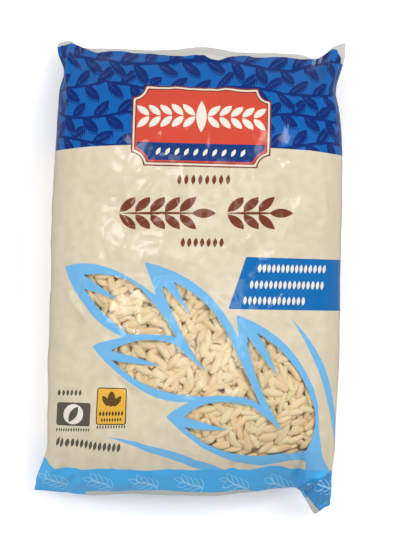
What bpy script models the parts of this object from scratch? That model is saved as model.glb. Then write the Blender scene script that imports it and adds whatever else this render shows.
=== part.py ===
"""A pillow bag of puffed rice, lying on its back with its printed front up.

Metres, +Z up. X runs across the bag and Y from its bottom seal to its top seal. The origin is
under the middle of the bag, on the surface that it lies on. The bag is one closed body. Its front
has three shallow pockets where the film is clear, cut to the pods of an ear of grain, and in each
pocket lies the rice that shows through.
"""

import math
import random

import bmesh
import bpy
from mathutils import Matrix, Vector
from mathutils.bvhtree import BVHTree

# The filled bag.
BAG_HEIGHT = 0.078  # from the table to the crown of the front
MID_LEFT = -0.0898  # the left side at mid-length
MID_RIGHT = 0.0970  # the right side at its widest
RIGHT_BELLY_Y = -0.020  # where the right side is widest
SIDE_DRAW_LENGTH = 0.120  # over this length the sides draw in by SIDE_DRAW
SIDE_DRAW = 0.0025
SIDE_HEIGHT = 0.034  # height of the widest line of the two sides
SEAL_MID_HEIGHT = 0.038  # height of the end seals at the middle of the bag
SEAL_CORNER_HEIGHT = 0.013  # and at their corners, which droop
BACK_SAG = 0.006  # how far the back would sag below the table, where it lies flat
FRONT_ROUNDING = 2.7  # superellipse power of the cross-section, front and back
BACK_ROUNDING = 2.8
END_TAPER = 6.0  # power by which the bag thins towards its end seals

# The end seals: a fin of flat film beyond each seal line, bent down so that little shows from above.
FIN_WIDTH = 0.012
FIN_THICKNESS = 0.0014
TOP_EDGE_Y = 0.1438
TOP_FIN_SHOWS = 0.0045
BOTTOM_EDGE_Y = -0.1418
BOTTOM_FIN_SHOWS = 0.0030

# The back seam: a flap of film folded flat, from seal to seal.
BACK_SEAM_X = 0.004
BACK_SEAM_WIDTH = 0.011
BACK_SEAM_THICKNESS = 0.0012
BACK_SEAM_LENGTH = 0.274
BACK_SEAM_STEPS = 36

# The sheets that the bag is made from, in columns across and rows along.
SHEET_COLUMNS = 26
SHEET_ROWS = 38
LAYER_COLUMNS = 14  # of the layers that cut the pockets and the rice under them
LAYER_ROWS = 20
SEAL_SHARE = 0.91  # the share of the rows that lies between the two seal lines

# The clear panes and the rice in them.
POCKET_DEPTH = 0.0064
POCKET_CLEARANCE = 0.0003
CORE_BELOW_FILM = 0.0024
GRAIN_LENGTH = 0.0140
GRAIN_WIDTH = 0.0050
GRAIN_DEPTH = 0.0042
GRAIN_SPACING = 0.0066
GRAIN_SHAKE = 0.0012  # most that a grain is off its place in the lattice, each way
GRAIN_SINK = 0.0005  # most that a grain lies below the film
GRAIN_TRIES = 12  # headings tried for a grain before a shorter one takes its place
GRAIN_SIZES = (1.05, 0.9, 0.75)
FIT_POINTS = 24  # round a grain, tested against the pane's outline
FIT_ROOM = 1.16  # how much larger than the grain the tested ellipse is
GRAIN_SEED = 7
CURVE_STEPS = 5  # straight pieces in each curved side of a pane
LEAST_SLANT = 0.35  # keeps a sharp corner from moving too far when an outline shrinks
PRISM_HEIGHT = 0.10  # of the prisms over the panes, taller than the bag
WELD_DISTANCE = 0.00002  # by which the two sheets of the bag meet all round
NEEDLE_LENGTH = 0.000001

FILM_COLOUR = (0.70, 0.62, 0.47, 1.0)
RICE_COLOUR = (0.80, 0.62, 0.36, 1.0)

# Each pane is a closed outline: its corners, each with the point that the side after it passes
# half way. A side without such a point is straight. The narrow notches are the pods' midribs.
PANES = {
    "upper": [
        ((-0.0672, -0.0019), (-0.0432, -0.0029)),
        ((-0.0269, -0.0142), (-0.0163, -0.0262)),
        ((-0.0076, -0.0397), (-0.0205, -0.0386)),
        ((-0.0368, -0.0392), (-0.0541, -0.0259)),
        ((-0.0670, -0.0105), None),
        ((-0.0450, -0.0172), None),
    ],
    "middle": [
        ((-0.0100, -0.0048), (0.0123, -0.0197)),
        ((0.0282, -0.0426), (0.0371, -0.0606)),
        ((0.0473, -0.0821), (0.0343, -0.0770)),
        ((0.0119, -0.0773), (-0.0221, -0.0724)),
        ((-0.0483, -0.0554), (-0.0334, -0.0575)),
        ((-0.0169, -0.0581), (-0.0322, -0.0537)),
        ((-0.0487, -0.0496), (-0.0287, -0.0424)),
        ((-0.0075, -0.0446), (0.0030, -0.0542)),
        ((0.0151, -0.0628), (0.0015, -0.0465)),
        ((-0.0172, -0.0105), None),
        ((-0.0165, -0.0075), (-0.0079, -0.0154)),
        ((0.0023, -0.0269), (-0.0034, -0.0169)),
    ],
    "lower": [
        ((0.0435, -0.0355), (0.0660, -0.0535)),
        ((0.0805, -0.0788), (0.0825, -0.0940)),
        ((0.0775, -0.1102), (0.0679, -0.1116)),
        ((0.0551, -0.1139), (0.0250, -0.1122)),
        ((-0.0009, -0.0970), (0.0131, -0.0987)),
        ((0.0278, -0.0980), (0.0154, -0.0951)),
        ((-0.0011, -0.0907), (0.0165, -0.0811)),
        ((0.0422, -0.0828), (0.0513, -0.0899)),
        ((0.0626, -0.0987), (0.0480, -0.0731)),
        ((0.0379, -0.0440), None),
        ((0.0378, -0.0380), (0.0471, -0.0503)),
        ((0.0576, -0.0623), (0.0502, -0.0462)),
    ],
}


def bump(value, centre, width, height):
    """A soft hump of an edge at centre, or a dip if height is negative."""
    return height * math.exp(-(((value - centre) / width) ** 2))


def ramp(value, start, end):
    """A smooth step: 0 up to start, 1 from end on."""
    share = min(max((value - start) / (end - start), 0.0), 1.0)
    return share * share * (3.0 - 2.0 * share)


def left_edge(y):
    """The left side seen from above: notched under the top ear, and flared at the bottom one."""
    side = MID_LEFT + SIDE_DRAW * (y / SIDE_DRAW_LENGTH) ** 2
    side += bump(y, 0.127, 0.007, 0.0022) - 0.0030 * ramp(y, 0.130, 0.146)
    return side - 0.0105 * ramp(-y, 0.110, 0.145)


def right_edge(y):
    """The right side seen from above, notched under the pointed top ear."""
    side = MID_RIGHT - SIDE_DRAW * ((y - RIGHT_BELLY_Y) / SIDE_DRAW_LENGTH) ** 2
    return side + bump(y, 0.1207, 0.009, -0.0021) + 0.0048 * ramp(y, 0.126, 0.152)


def top_edge(x):
    """The top end seen from above: a rounded ear, a low peak, a dip and a pointed ear."""
    edge = TOP_EDGE_Y + bump(x, -0.0835, 0.008, 0.0050) + bump(x, 0.006, 0.014, 0.0029)
    return edge + bump(x, 0.0775, 0.0065, -0.0030) + 0.0085 * ramp(x, 0.080, 0.0965)


def bottom_edge(x):
    """The bottom end seen from above: it slants a little, and its right ear is pulled out."""
    edge = BOTTOM_EDGE_Y + bump(x, -0.050, 0.018, -0.0015) + 0.0065 * ramp(x, 0.020, 0.075)
    return edge - 0.0155 * ramp(x, 0.0725, 0.0865) + 0.0060 * ramp(x, 0.0865, 0.0945)


def seal_height(across):
    """Height of the end seals, from -1 at the left corner to 1 at the right one."""
    return SEAL_MID_HEIGHT + (SEAL_CORNER_HEIGHT - SEAL_MID_HEIGHT) * across * across


def superellipse(share, power):
    """The quarter of a superellipse: 1 at share 0, and 0 with an upright end at share 1."""
    return max(1.0 - abs(share) ** power, 0.0) ** (1.0 / power)


def place(s, t, front):
    """The point of the front or back sheet at s across and t along, both from -1 to 1.

    The rows past SEAL_SHARE are the fins. Columns and rows crowd towards the sides and the seals.
    """
    across = math.sin(0.5 * math.pi * s)
    along = math.sin(0.5 * math.pi * min(abs(t) / SEAL_SHARE, 1.0)) * math.copysign(1.0, t)
    fin = max((abs(t) - SEAL_SHARE) / (1.0 - SEAL_SHARE), 0.0)

    x = 0.5 * (MID_LEFT + MID_RIGHT) + 0.5 * (MID_RIGHT - MID_LEFT) * across
    outer = top_edge(x) if t > 0 else bottom_edge(x)
    shows = TOP_FIN_SHOWS if t > 0 else -BOTTOM_FIN_SHOWS
    seal = outer - shows
    y = seal * abs(along) + shows * fin
    x = left_edge(y) + (right_edge(y) - left_edge(y)) * 0.5 * (across + 1.0)

    rim = SIDE_HEIGHT + (seal_height(across) - SIDE_HEIGHT) * abs(along) ** END_TAPER
    drop = math.sqrt(FIN_WIDTH**2 - shows**2) * (1.0 - 0.6 * abs(across) ** 4)
    rim -= drop * fin
    taper = 1.0 - abs(along) ** END_TAPER
    skin = 0.5 * FIN_THICKNESS * min(12.0 * (1.0 - abs(s)), 12.0 * (1.0 - abs(t)), 1.0)
    if front:
        z = rim + (BAG_HEIGHT - rim) * superellipse(across, FRONT_ROUNDING) * taper + skin
    else:
        z = rim - (rim + BACK_SAG) * superellipse(across, BACK_ROUNDING) * taper - skin
    return Vector((x, y, min(max(z, 0.0), BAG_HEIGHT)))


def new_object(name, mesh, collection):
    """Turns a bmesh into an object in a collection."""
    data = bpy.data.meshes.new(name)
    mesh.to_mesh(data)
    mesh.free()
    made = bpy.data.objects.new(name, data)
    collection.objects.link(made)
    return made


def sheet(front, columns=SHEET_COLUMNS, rows=SHEET_ROWS):
    """One sheet of the bag as a bmesh of triangles, its faces turned outwards."""
    mesh = bmesh.new()
    bmesh.ops.create_grid(mesh, x_segments=columns, y_segments=rows, size=1.0)
    for vertex in mesh.verts:
        vertex.co = place(vertex.co.x, vertex.co.y, front)
    for corner in [vertex for vertex in mesh.verts if len(vertex.link_faces) == 1]:
        quad = corner.link_faces[0]
        near = {edge.other_vert(corner) for edge in corner.link_edges}
        (far,) = set(quad.verts) - near - {corner}
        bmesh.utils.face_split(quad, corner, far)
    bmesh.ops.triangulate(mesh, faces=mesh.faces)
    if not front:
        bmesh.ops.reverse_faces(mesh, faces=mesh.faces)
    return mesh


def make_bag(collection):
    """The closed bag: a front and a back sheet that meet all round."""
    mesh = sheet(front=True)
    back = bpy.data.meshes.new("back")
    half = sheet(front=False)
    half.to_mesh(back)
    half.free()
    mesh.from_mesh(back)
    bpy.data.meshes.remove(back)
    bmesh.ops.remove_doubles(mesh, verts=mesh.verts, dist=WELD_DISTANCE)
    return new_object("bag", mesh, collection)


def side_points(start, middle, end):
    """The points of one side of a pane, from its start up to but not including its end."""
    if middle is None:
        return [Vector(start)]
    start, middle, end = Vector(start), Vector(middle), Vector(end)
    bend = 2.0 * middle - 0.5 * (start + end)
    points = []
    for step in range(CURVE_STEPS):
        share = step / CURVE_STEPS
        points.append(start.lerp(bend, share).lerp(bend.lerp(end, share), share))
    return points


def pane_outline(sides):
    """All the points of a pane's outline, in order."""
    points = []
    for index, (start, middle) in enumerate(sides):
        points += side_points(start, middle, sides[(index + 1) % len(sides)][0])
    return points


def shrunk(outline, distance):
    """A clockwise outline with all its sides moved inwards by a distance."""
    points = []
    for before, point, after in zip(outline[-1:] + outline[:-1], outline, outline[1:] + outline[:1]):
        arriving = (point - before).normalized()
        leaving = (after - point).normalized()
        inwards = Vector((arriving.y + leaving.y, -arriving.x - leaving.x)).normalized()
        slant = max(inwards.dot(Vector((arriving.y, -arriving.x))), LEAST_SLANT)
        points.append(point + distance / slant * inwards)
    return points


def raise_solid(mesh, height):
    """Makes a sheet a closed solid, by extruding its faces straight up."""
    raised = bmesh.ops.extrude_face_region(mesh, geom=mesh.faces[:])
    tops = [item for item in raised["geom"] if isinstance(item, bmesh.types.BMVert)]
    bmesh.ops.translate(mesh, verts=tops, vec=(0.0, 0.0, height))
    bmesh.ops.recalc_face_normals(mesh, faces=mesh.faces)


def pane_prism(name, sides, inset, collection):
    """An upright prism over a pane's outline, inset by a clearance, taller than the bag."""
    mesh = bmesh.new()
    points = shrunk(pane_outline(sides), inset)
    mesh.faces.new([mesh.verts.new((point.x, point.y, 0.0)) for point in points])
    bmesh.ops.triangulate(mesh, faces=mesh.faces)
    raise_solid(mesh, PRISM_HEIGHT)
    return new_object(name, mesh, collection)


def film_layer(name, below, above, collection):
    """A closed layer that follows the front film, from a depth below it to a height above it."""
    mesh = sheet(front=True, columns=LAYER_COLUMNS, rows=LAYER_ROWS)
    bmesh.ops.translate(mesh, verts=mesh.verts, vec=(0.0, 0.0, -below))
    raise_solid(mesh, below + above)
    return new_object(name, mesh, collection)


def combine(target, operation, cutters, solver="EXACT"):
    """Applies one Boolean of a collection to the target, and removes the collection's objects."""
    modifier = target.modifiers.new(operation.lower(), "BOOLEAN")
    modifier.operation = operation
    modifier.solver = solver
    modifier.operand_type = "COLLECTION"
    modifier.collection = cutters
    graph = bpy.context.evaluated_depsgraph_get()
    result = bpy.data.meshes.new_from_object(target.evaluated_get(graph))
    target.modifiers.clear()
    old = target.data
    target.data = result
    bpy.data.meshes.remove(old)
    for cutter in list(cutters.objects):
        bpy.data.objects.remove(cutter)


def keep_largest_body(target):
    """Drops the loose scraps and needle faces of a mesh, and makes it all triangles."""
    mesh = bmesh.new()
    mesh.from_mesh(target.data)
    bmesh.ops.dissolve_degenerate(mesh, edges=mesh.edges, dist=NEEDLE_LENGTH)
    unseen = set(mesh.verts)
    bodies = []
    while unseen:
        body = set()
        front = {unseen.pop()}
        while front:
            body |= front
            front = {edge.other_vert(vert) for vert in front for edge in vert.link_edges} - body
        unseen -= body
        bodies.append(body)
    bodies.sort(key=len)
    scraps = [vert for body in bodies[:-1] for vert in body]
    bmesh.ops.delete(mesh, geom=scraps, context="VERTS")
    bmesh.ops.triangulate(mesh, faces=mesh.faces)
    mesh.to_mesh(target.data)
    mesh.free()


def inside(point, outline):
    """Whether a point is inside an outline, seen from above."""
    crossings = 0
    for first, second in zip(outline, outline[1:] + outline[:1]):
        if (first.y > point.y) != (second.y > point.y):
            share = (point.y - first.y) / (second.y - first.y)
            crossings += point.x < first.x + share * (second.x - first.x)
    return crossings % 2 == 1


def grain_centres(outline, draw):
    """Places for grains over an outline: a shaken triangular lattice, kept where it is inside."""
    low_x = min(point.x for point in outline)
    low_y = min(point.y for point in outline)
    row_height = GRAIN_SPACING * math.sqrt(0.75)
    columns = int((max(point.x for point in outline) - low_x) / GRAIN_SPACING) + 2
    rows = int((max(point.y for point in outline) - low_y) / row_height) + 2
    centres = []
    for row in range(rows):
        for column in range(columns):
            x = low_x + (column + 0.5 * (row % 2)) * GRAIN_SPACING
            y = low_y + row * row_height
            shake = Vector((draw.uniform(-1.0, 1.0), draw.uniform(-1.0, 1.0))) * GRAIN_SHAKE
            if inside(Vector((x, y)) + shake, outline):
                centres.append(Vector((x, y)) + shake)
    return centres


def covers(point, length, width):
    """Whether a spindle along X, with its middle at the origin, lies over a point."""
    return (point.x / length) ** 2 + (point.y / width) ** 2 < 0.25


def grain_fit(centre, outline, draw):
    """The size and heading of a grain that stays within the outline, or None if none does."""
    angles = [math.tau * step / FIT_POINTS for step in range(FIT_POINTS)]
    for size in GRAIN_SIZES:
        length = FIT_ROOM * size * GRAIN_LENGTH
        width = FIT_ROOM * GRAIN_WIDTH
        edge = [Vector((length * math.cos(angle), width * math.sin(angle))) for angle in angles]
        for _ in range(GRAIN_TRIES):
            heading = draw.uniform(0.0, math.pi)
            turn = Matrix.Rotation(heading, 2)
            within = all(inside(centre + 0.5 * (turn @ reach), outline) for reach in edge)
            back = turn.transposed()
            if within and not any(covers(back @ (point - centre), length, width) for point in outline):
                return size, heading
    return None


def make_grain(film, centre, size, heading, draw, collection):
    """One puffed grain: a six-sided spindle that lies just under the film."""
    above = Vector((centre.x, centre.y, PRISM_HEIGHT))
    hit, normal, _, _ = film.ray_cast(above, Vector((0.0, 0.0, -1.0)))
    mesh = bmesh.new()
    bmesh.ops.create_uvsphere(mesh, u_segments=6, v_segments=4, radius=0.5)
    bmesh.ops.scale(mesh, verts=mesh.verts, vec=(GRAIN_DEPTH, GRAIN_WIDTH, size * GRAIN_LENGTH))
    lie = Matrix.Rotation(0.5 * math.pi, 4, "Y")
    turn = Matrix.Rotation(heading, 4, "Z")
    stand = Vector((0.0, 0.0, 1.0)).rotation_difference(normal).to_matrix().to_4x4()
    sunk = Vector((0.0, 0.0, (0.5 * GRAIN_DEPTH + draw.uniform(0.0, GRAIN_SINK)) / normal.z))
    matrix = Matrix.Translation(hit - sunk) @ stand @ turn @ lie
    bmesh.ops.transform(mesh, matrix=matrix, verts=mesh.verts)
    return new_object("grain", mesh, collection)


def make_rice(name, sides, film, collection, cutters):
    """The rice behind one pane: a core in its pocket, with the grains that show fused on."""
    draw = random.Random(f"{GRAIN_SEED} {name}")
    rice = pane_prism(name, sides, POCKET_CLEARANCE, collection)
    film_layer("core layer", POCKET_DEPTH - POCKET_CLEARANCE, -CORE_BELOW_FILM, cutters)
    combine(rice, "INTERSECT", cutters)
    outline = pane_outline(sides)
    for centre in grain_centres(outline, draw):
        fit = grain_fit(centre, outline, draw)
        if fit:
            make_grain(film, centre, *fit, draw, cutters)
    combine(rice, "UNION", cutters)
    keep_largest_body(rice)
    return rice


def make_back_seam(collection):
    """The flap of the back seam: a flat strip that follows the back from seal to seal."""
    back = BVHTree.FromBMesh(sheet(front=False))
    mesh = bmesh.new()
    bmesh.ops.create_grid(mesh, x_segments=1, y_segments=BACK_SEAM_STEPS, size=1.0)
    for vertex in mesh.verts:
        x = BACK_SEAM_X + 0.5 * BACK_SEAM_WIDTH * vertex.co.x
        y = 0.5 * BACK_SEAM_LENGTH * vertex.co.y
        hit, _, _, _ = back.ray_cast(Vector((x, y, -BAG_HEIGHT)), Vector((0, 0, 1)))
        vertex.co = (x, y, max(hit.z - BACK_SEAM_THICKNESS, 0.0))
    raise_solid(mesh, 3.0 * BACK_SEAM_THICKNESS)
    return new_object("back seam", mesh, collection)


def plain_material(name, colour, roughness):
    """A plain material of one colour."""
    material = bpy.data.materials.new(name)
    material.use_nodes = True
    shader = material.node_tree.nodes["Principled BSDF"]
    shader.inputs["Base Color"].default_value = colour
    shader.inputs["Roughness"].default_value = roughness
    shader.inputs["Metallic"].default_value = 0.0
    material.diffuse_color = colour
    return material


def finish(target, material):
    """Gives a solid its material and smooth shading with sharp creases."""
    target.data.materials.clear()
    target.data.materials.append(material)
    target.data.shade_smooth()
    target.data.set_sharp_from_angle(angle=math.radians(35))


def clear_scene():
    """Removes the objects of the startup scene."""
    for old in list(bpy.data.objects):
        bpy.data.objects.remove(old)


def main():
    """Builds the bag, its pockets and the rice behind each pane."""
    clear_scene()
    parts = bpy.data.collections.new("bag_of_puffed_rice")
    cutters = bpy.data.collections.new("cutters")
    bpy.context.scene.collection.children.link(parts)
    bpy.context.scene.collection.children.link(cutters)

    film = BVHTree.FromBMesh(sheet(front=True))
    rice_colour = plain_material("puffed rice", RICE_COLOUR, 0.8)
    for name, sides in PANES.items():
        rice = make_rice(f"puffed_rice_{name}", sides, film, parts, cutters)
        finish(rice, rice_colour)

    bag = make_bag(parts)
    make_back_seam(cutters)
    combine(bag, "UNION", cutters)
    for name, sides in PANES.items():
        pocket = pane_prism(f"pocket {name}", sides, 0.0, parts)
        film_layer("pocket layer", POCKET_DEPTH, POCKET_DEPTH, cutters)
        combine(pocket, "INTERSECT", cutters)
        parts.objects.unlink(pocket)
        cutters.objects.link(pocket)
        combine(bag, "DIFFERENCE", cutters)
    keep_largest_body(bag)
    finish(bag, plain_material("printed film", FILM_COLOUR, 0.35))


main()
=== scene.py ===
"""Looks of a sealed pillow bag of puffed rice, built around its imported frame.

Metres, +Z up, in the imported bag's frame: X across the printed front, Y from the bottom seal to the
top seal, Z up out of the front. The print is laid out in millimetres on the film.
"""

from __future__ import annotations

import logging
import math
from collections.abc import Callable, Sequence
from dataclasses import dataclass, field
from enum import Enum
from functools import partial

import bmesh
import bpy
import numpy as np
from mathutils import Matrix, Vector


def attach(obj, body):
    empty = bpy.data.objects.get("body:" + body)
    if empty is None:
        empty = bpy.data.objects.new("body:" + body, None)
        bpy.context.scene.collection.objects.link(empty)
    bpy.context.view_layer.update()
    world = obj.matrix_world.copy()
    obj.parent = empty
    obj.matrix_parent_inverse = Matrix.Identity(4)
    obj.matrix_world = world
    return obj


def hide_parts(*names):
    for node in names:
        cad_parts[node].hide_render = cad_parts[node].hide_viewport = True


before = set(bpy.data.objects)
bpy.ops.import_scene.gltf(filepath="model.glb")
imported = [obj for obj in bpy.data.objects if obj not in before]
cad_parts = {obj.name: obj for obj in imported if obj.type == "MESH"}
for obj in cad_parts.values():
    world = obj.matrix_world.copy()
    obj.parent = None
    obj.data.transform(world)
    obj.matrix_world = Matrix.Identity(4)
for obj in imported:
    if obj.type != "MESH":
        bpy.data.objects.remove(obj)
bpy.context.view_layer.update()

log = logging.getLogger("puffed_rice_bag")

Array = np.ndarray
Colour = tuple[float, float, float]
Spot = tuple[float, float]
Range = tuple[float, float]
Size = tuple[float, float]
Pair = tuple[Array, Array]
Piece = bpy.types.Object
Socket = bpy.types.NodeSocket

MM = 0.001
FAR_MM = 9.0  # the most that a print field holds, away from its shapes
FRONT_LIGHT = 1.20  # how bright a white front would be, where 1 is the brightest that a screen shows


def ramp(value: Array, start: float, end: float) -> Array:
    """A smooth step at each value: 0 up to start, and 1 from end on."""
    share = np.clip((value - start) / (end - start), 0.0, 1.0)
    return share * share * (3.0 - 2.0 * share)


@dataclass(frozen=True)
class Hump:
    """A soft hump in an edge, or a dip if its height is negative, in metres."""

    centre: float
    width: float
    height: float

    def at(self, value: Array) -> Array:
        """Its height at each value."""
        return self.height * np.exp(-(((value - self.centre) / self.width) ** 2))


@dataclass(frozen=True)
class Rise:
    """A place where an edge rises, or drops if the height is negative, in metres.

    Attributes:
        straight: whether it goes straight, with a corner at each end.
    """

    start: float
    end: float
    height: float
    straight: bool = False

    def at(self, value: Array) -> Array:
        """Its height at each value."""
        if self.straight:
            return self.height * np.clip((value - self.start) / (self.end - self.start), 0.0, 1.0)
        return self.height * ramp(value, self.start, self.end)


def from_screen(red: int, green: int, blue: int) -> Colour:
    """The linear colour that a surface needs to show as given, from 0 to 255, in this light."""
    parts = (part / 255.0 for part in (red, green, blue))
    linear = (part / 12.92 if part <= 0.04045 else ((part + 0.055) / 1.055) ** 2.4 for part in parts)
    return tuple(part / FRONT_LIGHT for part in linear)


def outward(there: Callable[[float, float], Array], step: float) -> Array:
    """The unit normals of a surface, whose points a little aside and ahead come from there."""
    normal = np.cross(there(step, 0.0) - there(-step, 0.0), there(0.0, step) - there(0.0, -step))
    return normal / np.maximum(np.linalg.norm(normal, axis=1, keepdims=True), 1e-12)


@dataclass(frozen=True)
class SoftNoise:
    """Smooth seeded noise in space, from -1 to 1.

    Attributes:
        cell: size of its lumps, in the unit of the points.
        size: after how many lumps it repeats.
    """

    cell: float
    seed: int
    size: int = 32

    def at(self, points: Array) -> Array:
        """The noise at points.

        Args:
            points: n rows of three coordinates.

        Returns:
            n values.
        """
        table = np.random.default_rng(self.seed).uniform(-1.0, 1.0, (self.size,) * 3)
        scaled = points / self.cell
        low = np.floor(scaled).astype(int)
        part = scaled - low
        part = part * part * (3.0 - 2.0 * part)
        total = np.zeros(len(points))
        for corner in np.ndindex(2, 2, 2):
            near = np.where(corner, part, 1.0 - part)
            index = (low + corner) % self.size
            total += near.prod(axis=1) * table[tuple(index.T)]
        return total


@dataclass(frozen=True)
class Facets:
    """Flat facets that meet in sharp creases, as crumpled film has, from -1 to 1.

    Attributes:
        cell: size of a facet, in metres.
        bend: how far the creases bend off a regular lattice, as a share of the cell.
        bend_cell: size of these bends, as a share of the cell.
        size: after how many facets they repeat.
        skew: what turns a square lattice into one of equal triangles.
    """

    cell: float
    seed: int
    bend: float = 0.55
    bend_cell: float = 1.3
    size: int = 64
    skew: float = 0.5 * (math.sqrt(3.0) - 1.0)

    def at(self, places: Array) -> Array:
        """The facets' heights.

        Args:
            places: n rows of two lengths along the film.

        Returns:
            n values.
        """
        table = np.random.default_rng(self.seed).uniform(-1.0, 1.0, (self.size, self.size))
        deep = np.column_stack([places, np.zeros(len(places))])
        spots = places / self.cell
        for axis in (0, 1):
            bends = SoftNoise(self.bend_cell * self.cell, self.seed + 1 + axis)
            spots[:, axis] += self.bend * bends.at(deep)
        spots = spots + self.skew * spots.sum(axis=1, keepdims=True)
        low = np.floor(spots).astype(int)
        part = spots - low
        first = part[:, 0] > part[:, 1]
        more, less = part.max(axis=1), part.min(axis=1)
        i, j = low.T
        near = table[i % self.size, j % self.size]
        side = table[(i + first) % self.size, (j + ~first) % self.size]
        far = table[(i + 1) % self.size, (j + 1) % self.size]
        return (1.0 - more) * near + (more - less) * side + less * far


@dataclass(frozen=True)
class BagForm:
    """The form of the filled bag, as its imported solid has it, in metres.

    Attributes:
        draw: how far its sides are drawn in at draw_length from where they stand out most.
        side_height: height of the sides' edges.
        back_sag: how far its back would sag through the table, which makes it flat.
        front_rounding: how square its front is across; back_rounding is the back's.
        end_taper: how suddenly it flattens towards its end seals.
        fin_corner_lift: how much less the fins hang down at their corners, as a share.
        side_pinch: how suddenly the two layers meet at the sides.
        top_shows: how much of the top fin shows from above.
        left_edge: what makes the left side uneven, seen from above, as the other edges have it.
    """

    height: float = 0.078
    mid_left: float = -0.0898
    mid_right: float = 0.0970
    belly_y: float = -0.020
    draw_length: float = 0.120
    draw: float = 0.0025
    side_height: float = 0.034
    seal_mid: float = 0.038
    seal_corner: float = 0.013
    back_sag: float = 0.006
    front_rounding: float = 2.7
    back_rounding: float = 2.8
    end_taper: float = 6.0
    fin_width: float = 0.012
    fin_thickness: float = 0.0005
    fin_corner_lift: float = 0.6
    side_pinch: float = 12.0
    top_y: float = 0.1438
    top_shows: float = 0.0045
    bottom_y: float = -0.1418
    bottom_shows: float = 0.0030
    left_edge: tuple[Hump | Rise, ...] = (
        Hump(0.127, 0.007, 0.0022), Rise(0.130, 0.146, -0.0030), Rise(-0.110, -0.145, -0.0105),
    )
    right_edge: tuple[Hump | Rise, ...] = (
        Hump(0.1207, 0.009, -0.0021), Rise(0.126, 0.152, 0.0048),
    )
    top_edge: tuple[Hump | Rise, ...] = (
        Hump(-0.0835, 0.008, 0.0050), Hump(0.006, 0.014, 0.0029),
        Hump(0.0775, 0.0065, -0.0030), Rise(0.080, 0.0965, 0.0085),
    )
    bottom_edge: tuple[Hump | Rise, ...] = (
        Hump(-0.050, 0.018, -0.0015), Rise(0.020, 0.075, 0.0065),
        Rise(0.0766, 0.0874, -0.0172, straight=True), Rise(0.0876, 0.0960, 0.0058),
    )

    def left(self, y: Array) -> Array:
        """The left side seen from above, at each y."""
        side = self.mid_left + self.draw * (y / self.draw_length) ** 2
        return side + sum(part.at(y) for part in self.left_edge)

    def right(self, y: Array) -> Array:
        """The right side seen from above, at each y."""
        side = self.mid_right - self.draw * ((y - self.belly_y) / self.draw_length) ** 2
        return side + sum(part.at(y) for part in self.right_edge)

    def top(self, x: Array) -> Array:
        """The top end seen from above, at each x."""
        return self.top_y + sum(part.at(x) for part in self.top_edge)

    def bottom(self, x: Array) -> Array:
        """The bottom end seen from above, at each x."""
        return self.bottom_y + sum(part.at(x) for part in self.bottom_edge)

    def chord(self, across: Array) -> Array:
        """X half way along the bag, at each place across it."""
        middle = 0.5 * (self.mid_left + self.mid_right)
        return middle + 0.5 * (self.mid_right - self.mid_left) * across

    def across(self, x: Array, y: Array) -> Array:
        """How far across the bag spots seen from above are, from -1 to 1."""
        left = self.left(y)
        return 2.0 * (x - left) / (self.right(y) - left) - 1.0

    def seal_reach(self, x: Array, y: Array) -> Array:
        """How far from the bag's middle the end seal is at each x, at the end that each y is on."""
        return np.where(y > 0, self.top(x) - self.top_shows, -self.bottom(x) - self.bottom_shows)

    def point(self, across: Array, length: Array, front: Array) -> Array:
        """Points of the film.

        Args:
            across: from -1 at the left side to 1 at the right side.
            length: from -1 at the bottom seal to 1 at the top seal, and to -2 and 2 in the fins.
            front: whether each point is on the front.

        Returns:
            n rows of three coordinates.
        """
        along = np.clip(length, -1.0, 1.0)
        fin = np.clip(np.abs(length) - 1.0, 0.0, 1.0)
        x = self.chord(across)
        outer = np.where(length > 0, self.top(x), self.bottom(x))
        shows = np.where(length > 0, self.top_shows, -self.bottom_shows)
        y = (outer - shows) * np.abs(along) + shows * fin
        x = self.left(y) + (self.right(y) - self.left(y)) * 0.5 * (across + 1.0)

        seal = self.seal_mid + (self.seal_corner - self.seal_mid) * across**2
        end = np.abs(along) ** self.end_taper
        rim = self.side_height + (seal - self.side_height) * end
        drop = np.sqrt(self.fin_width**2 - shows**2) * (1.0 - self.fin_corner_lift * across**4)
        rim = rim - drop * fin
        skin = 0.5 * self.fin_thickness * np.minimum(self.side_pinch * (1.0 - np.abs(across)), 1.0)
        rounding = np.where(front, self.front_rounding, self.back_rounding)
        swell = np.maximum(1.0 - np.abs(across) ** rounding, 0.0) ** (1.0 / rounding) * (1.0 - end)
        up = rim + (self.height - rim) * swell + skin
        down = rim - (rim + self.back_sag) * swell - skin
        z = np.clip(np.where(front, up, down), 0.0, self.height)
        return np.stack([x, y, z], axis=1)


@dataclass(frozen=True)
class FilmPlace:
    """Where points of the flat film lie on the bag, as BagForm.point takes it."""

    across: Array
    length: Array
    front: Array


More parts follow.
